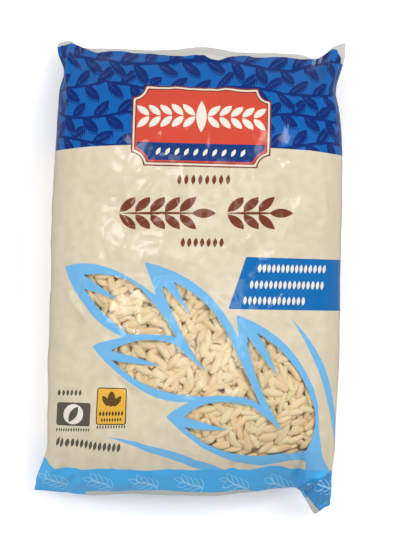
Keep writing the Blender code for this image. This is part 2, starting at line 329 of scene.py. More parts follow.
@dataclass
class FilmSheet:
    """The tube of film, laid flat as a square from -1 to 1 each way.

    Attributes:
        front_columns: columns of the front, evenly spaced round the film.
        body_rows: rows from seal to seal, evenly spaced along the film.
        samples: how many points a line is measured by.
        front_stations: how far across the bag the columns lie; front_reach is how far round it.
    """

    form: BagForm
    front_columns: int = 200
    back_columns: int = 50
    body_rows: int = 284
    fin_rows: int = 22
    samples: int = 3000
    seam_slack: float = 1e-4
    front_stations: Array = field(init=False)
    back_stations: Array = field(init=False)
    row_stations: Array = field(init=False)
    front_reach: Array = field(init=False)
    back_reach: Array = field(init=False)

    def __post_init__(self) -> None:
        """Works out the columns' and the rows' places."""
        self.front_stations = self.even_stations(self.front_columns, True)
        self.back_stations = self.even_stations(self.back_columns, False)[::-1]
        fine = self.fine_places()
        middle = self.form.point(np.zeros_like(fine), fine, np.ones_like(fine, bool))
        body = np.interp(*self.equal_lengths(middle, self.body_rows), fine)
        fin = np.arange(1, self.fin_rows + 1) / self.fin_rows
        self.row_stations = np.concatenate([-1.0 - fin[::-1], body, 1.0 + fin])
        self.front_reach = self.reach(self.girth(self.front_stations, True))
        self.back_reach = self.reach(self.girth(self.back_stations, False))

    @property
    def columns(self) -> int:
        """All columns round the film."""
        return self.front_columns + self.back_columns

    @property
    def rows(self) -> int:
        """All rows along the film."""
        return len(self.row_stations) - 1

    def girth(self, across: Array, front: bool) -> Array:
        """Points of the bag's middle cross-section."""
        return self.form.point(across, np.zeros_like(across), np.full(len(across), front))

    def fine_places(self) -> Array:
        """Places from -1 to 1, close together and closest at both ends."""
        return np.sin(0.5 * math.pi * np.linspace(-1.0, 1.0, self.samples))

    @staticmethod
    def reach(points: Array) -> Array:
        """How far along a line of points each of them is."""
        steps = np.linalg.norm(np.diff(points, axis=0), axis=1)
        return np.concatenate([[0.0], np.cumsum(steps)])

    def equal_lengths(self, points: Array, count: int) -> Pair:
        """How far along a line it is cut into equal lengths, and how far along its points are."""
        reach = self.reach(points)
        return np.linspace(0.0, reach[-1], count + 1), reach

    def even_stations(self, count: int, front: bool) -> Array:
        """Places across the front or back, evenly spaced along the film."""
        fine = self.fine_places()
        return np.interp(*self.equal_lengths(self.girth(fine, front), count), fine)

    def place(self, flat: Array) -> FilmPlace:
        """Where flat points lie on the bag.

        Args:
            flat: n rows of two coordinates, from -1 to 1.

        Returns:
            Their places.
        """
        column = 0.5 * (flat[:, 0] + 1.0) * self.columns
        row = 0.5 * (flat[:, 1] + 1.0) * self.rows
        front = column <= self.front_columns + self.seam_slack
        front_across = np.interp(column, np.arange(self.front_columns + 1), self.front_stations)
        back_column = column - self.front_columns
        back_across = np.interp(back_column, np.arange(self.back_columns + 1), self.back_stations)
        length = np.interp(row, np.arange(self.rows + 1), self.row_stations)
        return FilmPlace(np.where(front, front_across, back_across), length, front)

    def point(self, flat: Array) -> Array:
        """The points of the bag at flat points."""
        place = self.place(flat)
        return self.form.point(place.across, place.length, place.front)

    def round_the_film(self, flat: Array) -> Pair:
        """How far flat points are round the film from the middle of the front.

        Args:
            flat: n rows of two coordinates.

        Returns:
            The distances in metres, negative to the left, and which points are on the left half of
            the back.
        """
        column = 0.5 * (flat[:, 0] + 1.0) * self.columns
        front = np.interp(column, np.arange(self.front_columns + 1), self.front_reach)
        back_column = column - self.front_columns
        back = np.interp(back_column, np.arange(self.back_columns + 1), self.back_reach)
        back = np.where(back_column > 0, back, 0.0)
        far_half = back > 0.5 * self.back_reach[-1]
        girth = self.front_reach[-1] + self.back_reach[-1]
        return front + back - 0.5 * self.front_reach[-1] - np.where(far_half, girth, 0.0), far_half

    def normal(self, flat: Array, step: float = 0.002) -> Array:
        """The outward normals at flat points.

        Args:
            flat: n rows of two coordinates.
            step: how far each way the surface is read.

        Returns:
            n unit rows.
        """
        def there(aside: float, ahead: float) -> Array:
            """The bag's points a little aside of and ahead of the flat ones."""
            round_it = np.mod(flat[:, 0] + aside + 1.0, 2.0) - 1.0
            return self.point(np.column_stack([round_it, np.clip(flat[:, 1] + ahead, -1.0, 1.0)]))

        return outward(there, step)


class Ink(Enum):
    """The printed fields, in the order in which they lie on each other."""

    ROYAL = "ink_royal"
    NAVY = "ink_navy"
    SHADE = "ink_shade"
    SKY = "ink_sky"
    BAND = "ink_band"
    PANEL = "ink_panel"
    LABEL = "ink_label"
    STRIP = "ink_strip"
    GREY = "ink_grey"
    YELLOW = "ink_yellow"
    UMBER = "ink_umber"
    WHITE = "ink_white"
    FOLD_SHADE = "ink_fold_shade"
    BARE = "ink_bare"


def box_of(spots: Sequence[Spot]) -> Pair:
    """The lowest and the highest corner of a box round spots."""
    return np.min(spots, axis=0), np.max(spots, axis=0)


def box_round(centre: Spot, half: float) -> Pair:
    """The lowest and the highest corner of a square box round a spot."""
    return np.array(centre) - half, np.array(centre) + half


def from_side(points: Array, start: Array, end: Array) -> Pair:
    """How far points are from a straight side.

    Args:
        points: n rows of two coordinates.
        start: where the side starts.
        end: where it ends.

    Returns:
        n distances, and how far along the side its nearest spot is, from 0 to 1.
    """
    side = end - start
    offset = points - start
    share = np.clip(offset @ side / max(side @ side, 1e-12), 0.0, 1.0)
    return np.linalg.norm(offset - share[:, None] * side, axis=1), share


def turned(points: Array, centre: Spot, heading: float) -> Pair:
    """How far points are from a centre, ahead and aside of a heading in degrees.

    Args:
        points: n rows of two coordinates.
        centre: where to measure from.
        heading: the direction, in degrees from X.

    Returns:
        n lengths ahead and n lengths aside, none negative.
    """
    turn = math.radians(heading)
    offset = points - np.array(centre)
    ahead = np.abs(offset @ (math.cos(turn), math.sin(turn)))
    return ahead, np.abs(offset @ (-math.sin(turn), math.cos(turn)))


@dataclass(frozen=True)
class Field:
    """A field of colour inside a closed outline, in mm."""

    corners: tuple[Spot, ...]

    def reach(self) -> Pair:
        """The corners of a box round it."""
        return box_of(self.corners)

    def distance(self, points: Array) -> Array:
        """The distance to its outline, negative inside.

        Args:
            points: n rows of two coordinates.

        Returns:
            n distances.
        """
        corners = np.array(self.corners)
        nearest = np.full(len(points), np.inf)
        inside = np.zeros(len(points), bool)
        for start, end in zip(corners, np.roll(corners, -1, axis=0)):
            nearest = np.minimum(nearest, from_side(points, start, end)[0])
            spans = (start[1] > points[:, 1]) != (end[1] > points[:, 1])
            side = end - start
            slope = side[0] / side[1] if side[1] else 0.0
            inside ^= spans & (points[:, 0] < start[0] + (points[:, 1] - start[1]) * slope)
        return np.where(inside, -nearest, nearest)


@dataclass(frozen=True)
class Leaf:
    """A leaf or a grain, pointed at both ends, in mm, its heading in degrees from X."""

    centre: Spot
    heading: float
    length: float
    width: float

    def reach(self) -> Pair:
        """The corners of a box round it."""
        return box_round(self.centre, 0.5 * self.length)

    def distance(self, points: Array) -> Array:
        """The distance to its edge, negative inside.

        Args:
            points: n rows of two coordinates.

        Returns:
            n distances.
        """
        tall, wide = turned(points, self.centre, self.heading)
        half, thick = 0.5 * self.length, 0.5 * self.width
        radius = (half**2 + thick**2) / (2.0 * thick)
        shift = radius - thick
        beyond = (tall - half) * shift > wide * half
        return np.where(beyond, np.hypot(wide, tall - half), np.hypot(wide + shift, tall) - radius)


@dataclass(frozen=True)
class Plate:
    """An upright plate with round corners, in mm."""

    centre: Spot
    size: Size
    rounding: float

    def reach(self) -> Pair:
        """The corners of a box round it."""
        return box_round(self.centre, 0.5 * math.hypot(*self.size))

    def distance(self, points: Array) -> Array:
        """The distance to its edge, negative inside.

        Args:
            points: n rows of two coordinates.

        Returns:
            n distances.
        """
        wide, tall = (np.abs(points - self.centre) - 0.5 * np.array(self.size) + self.rounding).T
        outside = np.hypot(np.maximum(wide, 0.0), np.maximum(tall, 0.0))
        return outside + np.minimum(np.maximum(wide, tall), 0.0) - self.rounding


@dataclass(frozen=True)
class Line:
    """A line along a path, in mm, with its width at its start and at its end."""

    path: tuple[Spot, ...]
    width: Range

    def reach(self) -> Pair:
        """The corners of a box round it."""
        return box_of(self.path)

    def distance(self, points: Array) -> Array:
        """The distance to its edge, negative inside.

        Args:
            points: n rows of two coordinates.

        Returns:
            n distances.
        """
        path = np.array(self.path)
        nearest = np.full(len(points), np.inf)
        for index, (start, end) in enumerate(zip(path[:-1], path[1:])):
            away, share = from_side(points, start, end)
            gone = (index + share) / (len(path) - 1)
            half = 0.5 * (self.width[0] + (self.width[1] - self.width[0]) * gone)
            nearest = np.minimum(nearest, away - half)
        return nearest


Shape = Field | Leaf | Plate | Line


@dataclass
class PrintPlates:
    """One field for each ink: the distance in mm to the ink's edge, negative where it is printed.

    Attributes:
        film: the points that the plates are read at, in mm.
    """

    film: Array
    fields: dict[Ink, Array] = field(init=False)

    def __post_init__(self) -> None:
        """Starts with empty plates."""
        self.fields = {ink: np.full(len(self.film), FAR_MM) for ink in Ink}

    def near(self, shape: Shape, where: Array | None) -> Array:
        """The points that a shape can reach, of those that where marks, or of all if it is None."""
        low, high = shape.reach()
        close = np.all((self.film > low - FAR_MM) & (self.film < high + FAR_MM), axis=1)
        return np.flatnonzero(close if where is None else close & where)

    def lay(self, ink: Ink, *shapes: Shape, where: Array | None = None, lift: bool = False) -> None:
        """Prints shapes, or takes them out of an ink.

        Args:
            ink: the ink.
            shapes: the shapes.
            where: which points this is done on, or None for all.
            lift: whether they are taken out.
        """
        for shape in shapes:
            near = self.near(shape, where)
            plate = self.fields[ink]
            distance = shape.distance(self.film[near])
            plate[near] = np.maximum(plate[near], -distance) if lift else np.minimum(plate[near], distance)

    def shifted(self, film: Array) -> PrintPlates:
        """The same plates, read at other film coordinates."""
        plates = PrintPlates(film)
        plates.fields = self.fields
        return plates


def curved(sides: Sequence[tuple[Spot, Spot | None]], steps: int = 8) -> tuple[Spot, ...]:
    """The points of a closed outline with curved sides.

    Args:
        sides: its corners in turn, each with the point that the side after it passes half way,
            or None where that side is straight.
        steps: how many straight lengths make a curved side.

    Returns:
        The points in turn.
    """
    points = []
    for index, (start, middle) in enumerate(sides):
        end = sides[(index + 1) % len(sides)][0]
        if middle is None:
            points.append(start)
            continue
        first, half_way, last = np.array((start, middle, end))
        pull = 2.0 * half_way - 0.5 * (first + last)
        for share in np.arange(steps) / steps:
            rest = 1.0 - share
            points.append(tuple(rest**2 * first + 2.0 * share * rest * pull + share**2 * last))
    return tuple(points)


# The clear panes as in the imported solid, in mm: each corner with the point that the side after it
# passes half way.
PANES = {
    "upper": (
        ((-67.2, -1.9), (-43.2, -2.9)), ((-26.9, -14.2), (-16.3, -26.2)), ((-7.6, -39.7), (-20.5, -38.6)),
        ((-36.8, -39.2), (-54.1, -25.9)), ((-67, -10.5), None), ((-45, -17.2), None),
    ),
    "middle": (
        ((-10, -4.8), (12.3, -19.7)), ((28.2, -42.6), (37.1, -60.6)), ((47.3, -82.1), (34.3, -77)),
        ((11.9, -77.3), (-22.1, -72.4)), ((-48.3, -55.4), (-33.4, -57.5)), ((-16.9, -58.1), (-32.2, -53.7)),
        ((-48.7, -49.6), (-28.7, -42.4)), ((-7.5, -44.6), (3, -54.2)), ((15.1, -62.8), (1.5, -46.5)),
        ((-17.2, -10.5), None), ((-16.5, -7.5), (-7.9, -15.4)), ((2.3, -26.9), (-3.4, -16.9)),
    ),
    "lower": (
        ((43.5, -35.5), (66, -53.5)), ((80.5, -78.8), (82.5, -94)), ((77.5, -110.2), (67.9, -111.6)),
        ((55.1, -113.9), (25, -112.2)), ((-0.9, -97), (13.1, -98.7)), ((27.8, -98), (15.4, -95.1)),
        ((-1.1, -90.7), (16.5, -81.1)), ((42.2, -82.8), (51.3, -89.9)), ((62.6, -98.7), (48, -73.1)),
        ((37.9, -44), None), ((37.8, -38), (47.1, -50.3)), ((57.6, -62.3), (50.2, -46.2)),
    ),
}

# The ear of grain round the panes and the foot of its stalk, in mm.
EAR = (
    ((-79.2, 3.2), (-52.9, 3.6)), ((-20.8, -14), None), ((-29, 7.4), (7.6, -8.3)), ((32.5, -40.3), None),
    ((30.3, -24.4), (65.2, -45.5)), ((84.1, -80), (85.5, -98.4)), ((87.7, -114), None),
    ((92.5, -122.2), None), ((92, -127), None), ((77, -127), None), ((77.7, -117.5), None),
    ((69.5, -115.3), (30.3, -118.6)), ((-12.6, -91.3), (-6.4, -85.8)), ((2.8, -80.7), (-27.8, -75.1)),
    ((-60.6, -47.9), (-56.2, -44.9)), ((-40.9, -40.9), (-63.7, -24.9)),
)

# The fields' outlines, in mm: the wavy upper edge of the blue band from right to left and its foot
# from left to right, the upper edge of the light blue band, the bare film along the foot, the
# folded corner, printed a darker blue as painted shade of its fold, and the bare film on it.
BAND_TOP = (
    (190, 134), (100, 135), (95.2, 136.4), (93.4, 141.4), (91.2, 147.4), (84.5, 146), (77.3, 140.9),
    (67.7, 140.4), (57, 141.7), (46.5, 141), (39, 140.6), (31.8, 141.9), (23, 140.8), (15.2, 138.2),
    (10, 139.2), (5.6, 141.2), (-1, 141.1), (-7.2, 140.1), (-17, 140.3), (-27.1, 141.3), (-38, 141.4),
    (-48.3, 142.6), (-56, 142.2), (-62.9, 141), (-68, 142.9), (-72.9, 145.5), (-79, 146.8), (-86.1, 145.5),
    (-95, 142), (-190, 141),
)
BAND_FOOT = (
    (-190, 72), (-100, 75), (-87, 77.4), (-66, 80.1), (-40, 81.8), (5, 82.8), (50, 82), (74, 81.1),
    (93, 79.1), (105, 77), (190, 72),
)
BOTTOM_BAND_TOP = (
    (-190, -118), (-100, -115.5), (-91, -116), (-86, -122.5), (-81.3, -125.2), (-36.4, -124.6),
    (10.1, -124.4), (25.6, -124.4), (42, -124.4), (48, -122.6), (54.9, -121.1), (64.7, -121.5),
    (77.9, -123.2), (82.8, -123.1), (100, -123), (190, -127),
)
BARE_FOOT = (
    (-63, -141.2), (-54, -140.2), (-44, -140.6), (-30, -139.2), (-12, -138.6), (2, -139.4), (22, -139.2),
    (38, -137.2), (50, -138.4), (58, -137.8), (66, -150), (-66, -150),
)
FOLD_SHADE = (
    (73.6, -135.4), (77.4, -131.9), (81.8, -128.4), (85.5, -126.6), (93.2, -124.4), (102, -124),
    (102, -160), (70, -160), (70, -137),
)
BARE_FLAP = (
    (74.5, -141), (80, -157), (90.4, -153.6), (87, -149.4), (81.6, -143.2), (77.6, -139),
)
ABOVE_ALL = ((-190, 175), (190, 175))
BELOW_ALL = ((190, -170), (-190, -170))
INFO_PANEL = ((35.8, 12.3), (96.7, 12.0), (112, 12), (112, -20.6), (97.5, -20.6), (25.2, -21.2))


@dataclass(frozen=True)
class Vines:
    """Rows of leafy vines in a darker blue, in mm and degrees.

    Attributes:
        swing: how far a stem swings to each side; wave is how long its waves are.
        clearance: how much larger than a leaf the rim is that is kept clear round it.
    """

    seed: int = 5
    first_row: float = 66.0
    last_row: float = 152.0
    row_pitch: float = 17.6
    swing: float = 2.6
    wave: float = 15.0
    phase: float = 1.9
    leaf_reach: float = 226.0
    leaf_pitch: float = 8.2
    leaf_angle: Range = (30.0, 46.0)
    leaf_length: Range = (13.6, 16.6)
    leaf_width: Range = (5.6, 6.8)
    leaf_stalk: float = 0.4
    clearance: float = 2.0
    shade_shift: Spot = (0.4, -1.9)
    vein_share: float = 0.30
    vein_width: Range = (1.1, 0.5)
    stem_reach: float = 230.0
    stem_step: float = 4.0
    stem_width: float = 1.7

    def turn(self, x: float, row: int) -> float:
        """How far along its wave a stem is at x, in radians."""
        return x / self.wave + self.phase * row

    def print_on(self, plates: PrintPlates) -> None:
        """Prints each leaf with a clear rim, a hatched shade and a bare vein, and then the stems.

        Args:
            plates: the plates, read at true lengths round the film.
        """
        draw = np.random.default_rng(self.seed)
        for row, base in enumerate(np.arange(self.first_row, self.last_row, self.row_pitch)):
            for index, x in enumerate(np.arange(-self.leaf_reach, self.leaf_reach, self.leaf_pitch)):
                up = 1 if index % 2 else -1
                slope = self.swing / self.wave * math.cos(self.turn(x, row))
                heading = math.degrees(math.atan(slope)) + up * draw.uniform(*self.leaf_angle)
                length, width = draw.uniform(*self.leaf_length), draw.uniform(*self.leaf_width)
                ahead = np.array((math.cos(math.radians(heading)), math.sin(math.radians(heading))))
                root = np.array((x, base + self.swing * math.sin(self.turn(x, row))))
                middle = root + (0.5 * length + self.leaf_stalk) * ahead
                rim = Leaf(tuple(middle), heading, length + self.clearance, width + self.clearance)
                vein = self.vein_share * length * ahead
                plates.lay(Ink.NAVY, rim, lift=True)
                plates.lay(Ink.SHADE, rim, lift=True)
                plates.lay(Ink.SHADE, Leaf(tuple(middle + self.shade_shift), heading, length, width))
                plates.lay(Ink.NAVY, Leaf(tuple(middle), heading, length, width))
                vein_line = Line((tuple(middle - vein), tuple(middle + vein)), self.vein_width)
                plates.lay(Ink.NAVY, vein_line, lift=True)
            steps = np.arange(-self.stem_reach, self.stem_reach, self.stem_step)
            stem = tuple((x, base + self.swing * math.sin(self.turn(x, row))) for x in steps)
            plates.lay(Ink.NAVY, Line(stem, (self.stem_width, self.stem_width)))


@dataclass
class BagPrint:
    """The fields of the print: bands, the ear round the panes, a panel, a label and small marks.

    Attributes:
        seen: the film's points as seen from above, in mm, going on past the sides to the back.
        rolled: the film's points in true lengths round the film, in mm.
        front: which points are on the front.
        label_scoop: radius of the label's scooped corners.
    """

    form: BagForm
    seen: Array
    rolled: Array
    front: Array
    label_middle: Spot = (5.0, 94.8)
    label_half: Size = (44.5, 26.0)
    label_scoop: float = 8.0
    strip_height: float = 15.0
    strip_inset: float = 3.8
    grey_mark: Spot = (-72.0, -91.0)
    yellow_mark: Spot = (-47.6, -85.2)
    back_middle: Spot = (3.6, 6.0)
    back_panel_shift: float = 44.0

    def make(self) -> dict[Ink, Array]:
        """Prints everything.

        Returns:
            The field of each ink.
        """
        plates = PrintPlates(self.seen)
        plates.lay(Ink.ROYAL, Field(BAND_FOOT + BAND_TOP))
        Vines().print_on(plates.shifted(self.rolled))
        plates.lay(Ink.SKY, Field(curved(EAR)), where=self.front)
        plates.lay(Ink.BAND, Field(BOTTOM_BAND_TOP + BELOW_ALL))
        plates.lay(Ink.PANEL, Field(INFO_PANEL))
        self.print_label(plates)
        self.print_marks(plates)
        self.print_back(plates)
        # Painted shade: the folded corner gets a darker blue than the band, for the shade of its fold.
        plates.lay(Ink.FOLD_SHADE, Field(FOLD_SHADE), where=self.front)
        plates.lay(Ink.BARE, Field(BAND_TOP + ABOVE_ALL))
        plates.lay(Ink.BARE, Field(BARE_FOOT), Field(BARE_FLAP), where=self.front)
        return plates.fields

    def print_label(self, plates: PrintPlates) -> None:
        """The red label, a plate with scooped corners, and the navy strip along its foot."""
        middle, half = np.array(self.label_middle), np.array(self.label_half)
        box = Plate(self.label_middle, size=tuple(2.0 * half), rounding=0.01)
        near = plates.near(box, self.front)
        points = self.seen[near]
        distance = box.distance(points)
        for corner in ((-1, -1), (-1, 1), (1, -1), (1, 1)):
            away = np.linalg.norm(points - (middle + half * corner), axis=1)
            distance = np.maximum(distance, self.label_scoop - away)
        plates.fields[Ink.LABEL][near] = distance
        strip = points[:, 1] - (middle[1] - half[1] + self.strip_height)
        plates.fields[Ink.STRIP][near] = np.maximum(distance + self.strip_inset, strip)

    def print_marks(self, plates: PrintPlates) -> None:
        """Two small marks at the lower left: a leaf on grey, and a sprout on yellow."""
        front, grey, yellow = self.front, self.grey_mark, self.yellow_mark
        plates.lay(Ink.GREY, Plate(grey, size=(22.0, 14.8), rounding=1.4), where=front)
        plates.lay(Ink.WHITE, Plate(grey, size=(12.8, 12.8), rounding=6.3), where=front)
        leaf = Leaf(grey, heading=62.0, length=11.0, width=4.8)
        plates.lay(Ink.WHITE, leaf, where=front, lift=True)
        plates.lay(Ink.YELLOW, Plate(yellow, size=(17.6, 22.4), rounding=0.8), where=front)
        for side, down, length, width in ((0, 4.8, 10.4, 5.0), (-1, 3.4, 8.6, 3.2), (1, 3.4, 8.6, 3.2)):
            middle = (yellow[0] + 3.8 * side, yellow[1] + down)
            leaf = Leaf(middle, heading=90.0 - 32.0 * side, length=length, width=width)
            plates.lay(Ink.UMBER, leaf, where=front)

    def print_back(self, plates: PrintPlates) -> None:
        """Two pale panels on the back, one at each side of its seam, and the bare film at its foot."""
        below = plates.shifted(self.back_view())
        below.lay(Ink.BARE, Field(BARE_FOOT), where=~self.front)
        for side in (-1, 1):
            middle = (self.back_middle[0] + side * self.back_panel_shift, self.back_middle[1])
            below.lay(Ink.WHITE, Plate(middle, size=(62.0, 84.0), rounding=2.5), where=~self.front)

    def back_view(self) -> Array:
        """The film's points by their true places seen from above, in mm, for the back's print."""
        side = np.where(self.seen[:, 0] > 0, self.form.mid_right, self.form.mid_left) / MM
        return np.stack([2.0 * side - self.seen[:, 0], self.seen[:, 1]], axis=1)


@dataclass(frozen=True)
class Crease:
    """A fold line pressed into the film.

    Attributes:
        start: where it starts, in mm as seen from above; end is where it ends.
        height: how far it stands out, or goes in if negative.
        width: how far its flanks reach each way.
        bow: how far its middle is off the straight line, to the left.
        ease: the share of its length over which it comes up at each end.
        sharpness: how sharp its ridge is.
    """

    start: Spot
    end: Spot
    height: float
    width: float
    bow: float = 0.0
    ease: float = 0.3
    sharpness: float = 1.5

    def at(self, seen: Array) -> Array:
        """Its height at points.

        Args:
            seen: n rows of two coordinates, in mm.

        Returns:
            n heights in mm.
        """
        start, end = np.array(self.start), np.array(self.end)
        run = end - start
        length = float(np.hypot(*run))
        run = run / length
        offset = seen - start
        along = offset @ run / length
        away = offset @ np.array((-run[1], run[0])) - self.bow * 4.0 * along * (1.0 - along)
        flank = np.maximum(1.0 - np.abs(away) / self.width, 0.0)
        ends = ramp(along, 0.0, self.ease) * ramp(1.0 - along, 0.0, self.ease)
        return self.height * flank**self.sharpness * ends


@dataclass(frozen=True)
class SmallWrinkles:
    """Small creases spread over the front: upright ones near its sides, and any way elsewhere.

    Attributes:
        upright_from: how far from the middle all are upright; nearer, upright_share of them are.
    """

    seed: int
    count: int = 34
    across: Range = (-84.0, 90.0)
    along: Range = (-128.0, 132.0)
    upright_from: float = 55.0
    upright_share: float = 0.3
    upright_spread: float = 0.30
    length: Range = (9.0, 34.0)
    height: Range = (0.15, 0.55)
    width: Range = (1.8, 2.8)
    bow: Range = (-2.0, 2.0)

    def make(self) -> list[Crease]:
        """Draws them, one in three of them pressed in.

        Returns:
            The creases.
        """
        draw = np.random.default_rng(self.seed)
        made = []
        for _ in range(self.count):
            x, y = draw.uniform(*self.across), draw.uniform(*self.along)
            upright = abs(x) > self.upright_from or draw.random() < self.upright_share
            level = draw.normal(0.5 * math.pi, self.upright_spread) if upright else draw.uniform(0.0, math.pi)
            length = draw.uniform(*self.length)
            end = (x + length * math.cos(level), y + length * math.sin(level))
            height = draw.uniform(*self.height) * draw.choice((1.0, 1.0, -1.0))
            made.append(Crease((x, y), end, height, draw.uniform(*self.width), draw.uniform(*self.bow)))
        return made


@dataclass
class FilmRelief:
    """How far the film stands off the bag's smooth form: dents, creases, gathers and grains.

    Lengths are in metres, but those of the creases and from the panes are in mm.

    Attributes:
        grains: the grains that press on the film: x, y, heading, length and width of each.
        side_share: how much crumpling is left at the very sides, within side_calm of them.
        slices: where the ends' noise is read, top and bottom, for gathers and for fins.
        press_edge: how far in from a side the creases and the grains show fully.
        pane_smooth: how much less crumpled the film is over a pane; pane_quiet is how much less the
            grains press through there.
        pane_floor: the deepest that the film goes in over the grains behind the panes.
        floor_fall: from how far off a pane, and how fast, that floor falls away.
    """

    form: BagForm
    grains: Array
    seed: int = 21
    dent: float = 0.0012
    dent_cells: Range = (0.042, 0.019)
    crumple: float = 0.0014
    facet_cells: Range = (0.024, 0.0105)
    fine_share: float = 0.30
    side_share: float = 0.3
    side_calm: float = 0.015
    seal_calm: float = 0.005
    gather: float = 0.0016
    gather_length: float = 0.028
    gather_lean: Range = (0.12, -0.10)
    gather_cells: tuple[float, float, float] = (0.011, 0.005, 0.017)
    slices: tuple[Range, Range] = ((0.5, 9.5), (0.5, 7.5))
    press: float = 0.00013
    press_reach: float = 0.010
    press_width: float = 0.56
    press_edge: float = 0.006
    flap_edge: float = 0.0018
    fin_wave: float = 0.0013
    fin_cells: Range = (0.012, 0.005)
    fin_lean: float = 0.35
    crimp: float = 0.00016
    crimp_pitch: float = 0.0024
    pane_edge: Range = (-1.0, 4.0)
    pane_smooth: float = 0.3
    pane_quiet: float = 0.8
    pane_floor: float = -0.0005
    floor_fall: Range = (5.0, 1.5)
    creases: tuple[Crease, ...] = (
        Crease((79, 86), (86, 34), 1.1, 2.6, 1), Crease((84, 60), (87.5, 20), 0.8, 2.2),
        Crease((48, -21), (83, -38.5), 1.1, 2.1), Crease((60.5, -8), (83, -37), 1.1, 2.1),
        Crease((49, -23.5), (62, -9), 1, 2.1), Crease((-40, 30), (-14, 72), 1.1, 3.6, 3),
        Crease((-12, 46), (-46, 24), -0.9, 3.4), Crease((-77, -6), (-60, -34), 1.2, 3.6, -4),
        Crease((-72, -32), (-52, -9), -0.9, 3), Crease((-66, -2), (-74, -26), 0.9, 2.6, 2),
        Crease((-79, 143), (-82.5, 120), 2, 3.2), Crease((-74, 140), (-52, 112), 1.6, 4.5, 2),
        Crease((-83, 132), (-80, 96), 1.5, 3.5), Crease((88.5, 143), (76, 104), 2, 4),
        Crease((92, 140), (90, 92), 1.6, 3.2), Crease((80, 140), (66, 118), 1.4, 3.5),
        Crease((-90, -134), (-72, -98), 1.6, 4.5), Crease((-84, -137), (-58, -120), 1.2, 3.5),
        Crease((60, -104), (76, -124), 0.9, 2.2),
    )
    flap_creases: tuple[Crease, ...] = (
        Crease((71, -137), (93, -123.5), 3.6, 3), Crease((73, -141.5), (95, -128), -2, 2.8),
        Crease((84, -149), (91, -126), 1.4, 2.4), Crease((-80, 152), (-82.5, 118), 1.8, 3),
        Crease((90, 154), (84, 118), 1.8, 3.2), Crease((-92, -137), (-76, -118), 1.5, 3.4),
    )

    def seals(self, points: Array) -> Array:
        """How far points are from the nearest end seal as seen from above, in metres."""
        top = self.form.top(points[:, 0]) - self.form.top_shows - points[:, 1]
        bottom = points[:, 1] - self.form.bottom(points[:, 0]) - self.form.bottom_shows
        return np.maximum(np.minimum(top, bottom), 0.0)

    def gathers(self, points: Array, rolled: Array) -> Array:
        """The folds that run from the end seals into the bag.

        Args:
            points: the points of the smooth form.
            rolled: how far round the film each point is, in metres.

        Returns:
            Heights from about -1 to 1.
        """
        away = self.seals(points)
        top = points[:, 1] > 0
        lean = np.where(top, *self.gather_lean) * away
        line = np.stack([rolled + lean, np.where(top, *self.slices[0]), 0.0 * away], axis=1)
        wide, fine, far = (SoftNoise(cell, self.seed + 3 + index).at(line)
                           for index, cell in enumerate(self.gather_cells))
        reach = self.gather_length * (1.0 + 0.7 * far)
        strength = ramp(away, 0.0, self.seal_calm) * np.exp(-away / reach)
        return strength * (np.abs(wide) * 1.6 - 0.5 + 0.45 * fine * np.exp(-away / (0.4 * reach)))

    def pressed(self, seen: Array) -> Array:
        """How close the film is to the grains under it, from 0 between them to 1 on them.

        Args:
            seen: the points as seen from above, in metres.

        Returns:
            n values.
        """
        reach = self.press_reach
        close = np.zeros(len(seen))
        order = np.argsort(seen[:, 0])
        sorted_x = seen[order, 0]
        for x, y, heading, length, width in self.grains:
            first, last = np.searchsorted(sorted_x, (x - reach, x + reach))
            near = order[first:last]
            near = near[np.abs(seen[near, 1] - y) < reach]
            offset = seen[near] - (x, y)
            along = offset @ (math.cos(heading), math.sin(heading)) / (0.5 * length)
            aside = offset @ (-math.sin(heading), math.cos(heading)) / (self.press_width * width)
            close[near] = np.maximum(close[near], np.exp(-(np.abs(along) ** 3) - aside**2))
        return close

    def height(self, points: Array, rolled: Array, front: Array, pane: Array) -> Pair:
        """How far the film stands off the smooth form.

        Args:
            points: the points of the smooth form.
            rolled: how far round the film each point is, in metres.
            front: which points are on the front.
            pane: how far each point is from the panes, in mm.

        Returns:
            The heights in metres, and how close the film is to the grains.
        """
        seen = points[:, :2]
        left, right = self.form.left(points[:, 1]), self.form.right(points[:, 1])
        inside = np.minimum(seen[:, 0] - left, right - seen[:, 0])
        over_pane = 1.0 - ramp(pane, *self.pane_edge)
        height = self.dents(points, rolled, inside, over_pane)
        height += self.gather * self.gathers(points, rolled)
        inward = np.where(front, ramp(inside, 0.0, self.press_edge), 0.0)
        for crease in (*self.creases, *SmallWrinkles(self.seed + 9).make()):
            height += inward * crease.at(seen / MM) * MM
        press = 0.5 + inward * (self.pressed(seen) - 0.5)
        height += self.press * (press - 1.0) * (1.0 - self.pane_quiet * over_pane)
        start, fall = self.floor_fall
        height = np.maximum(height, self.pane_floor * (1.0 + fall * np.maximum(pane - start, 0.0)))
        height *= ramp(self.seals(points), 0.0, self.seal_calm)
        edgeways = np.where(front, ramp(inside, 0.0, self.flap_edge), 0.0)
        for crease in self.flap_creases:
            height += edgeways * crease.at(seen / MM) * MM
        return height, press

    def dents(self, points: Array, rolled: Array, inside: Array, over_pane: Array) -> Array:
        """The film's soft dents and its crumpled facets.

        Args:
            points: the points of the smooth form.
            rolled: how far round the film each point is, in metres.
            inside: how far in from the nearer side each point is, in metres.
            over_pane: how far over a pane each point is, from 0 to 1.

        Returns:
            Heights in metres.
        """
        broad, fine = (SoftNoise(cell, self.seed + index).at(points)
                       for index, cell in enumerate(self.dent_cells))
        film = np.column_stack([rolled, points[:, 1]])
        large, small = (Facets(cell, self.seed + 2 + 4 * index).at(film)
                        for index, cell in enumerate(self.facet_cells))
        share = self.side_share + (1.0 - self.side_share) * ramp(inside, 0.0, self.side_calm)
        facets = (large + self.fine_share * small) * share * (1.0 - self.pane_smooth * over_pane)
        return self.dent * (broad + self.fine_share * fine) + self.crumple * facets

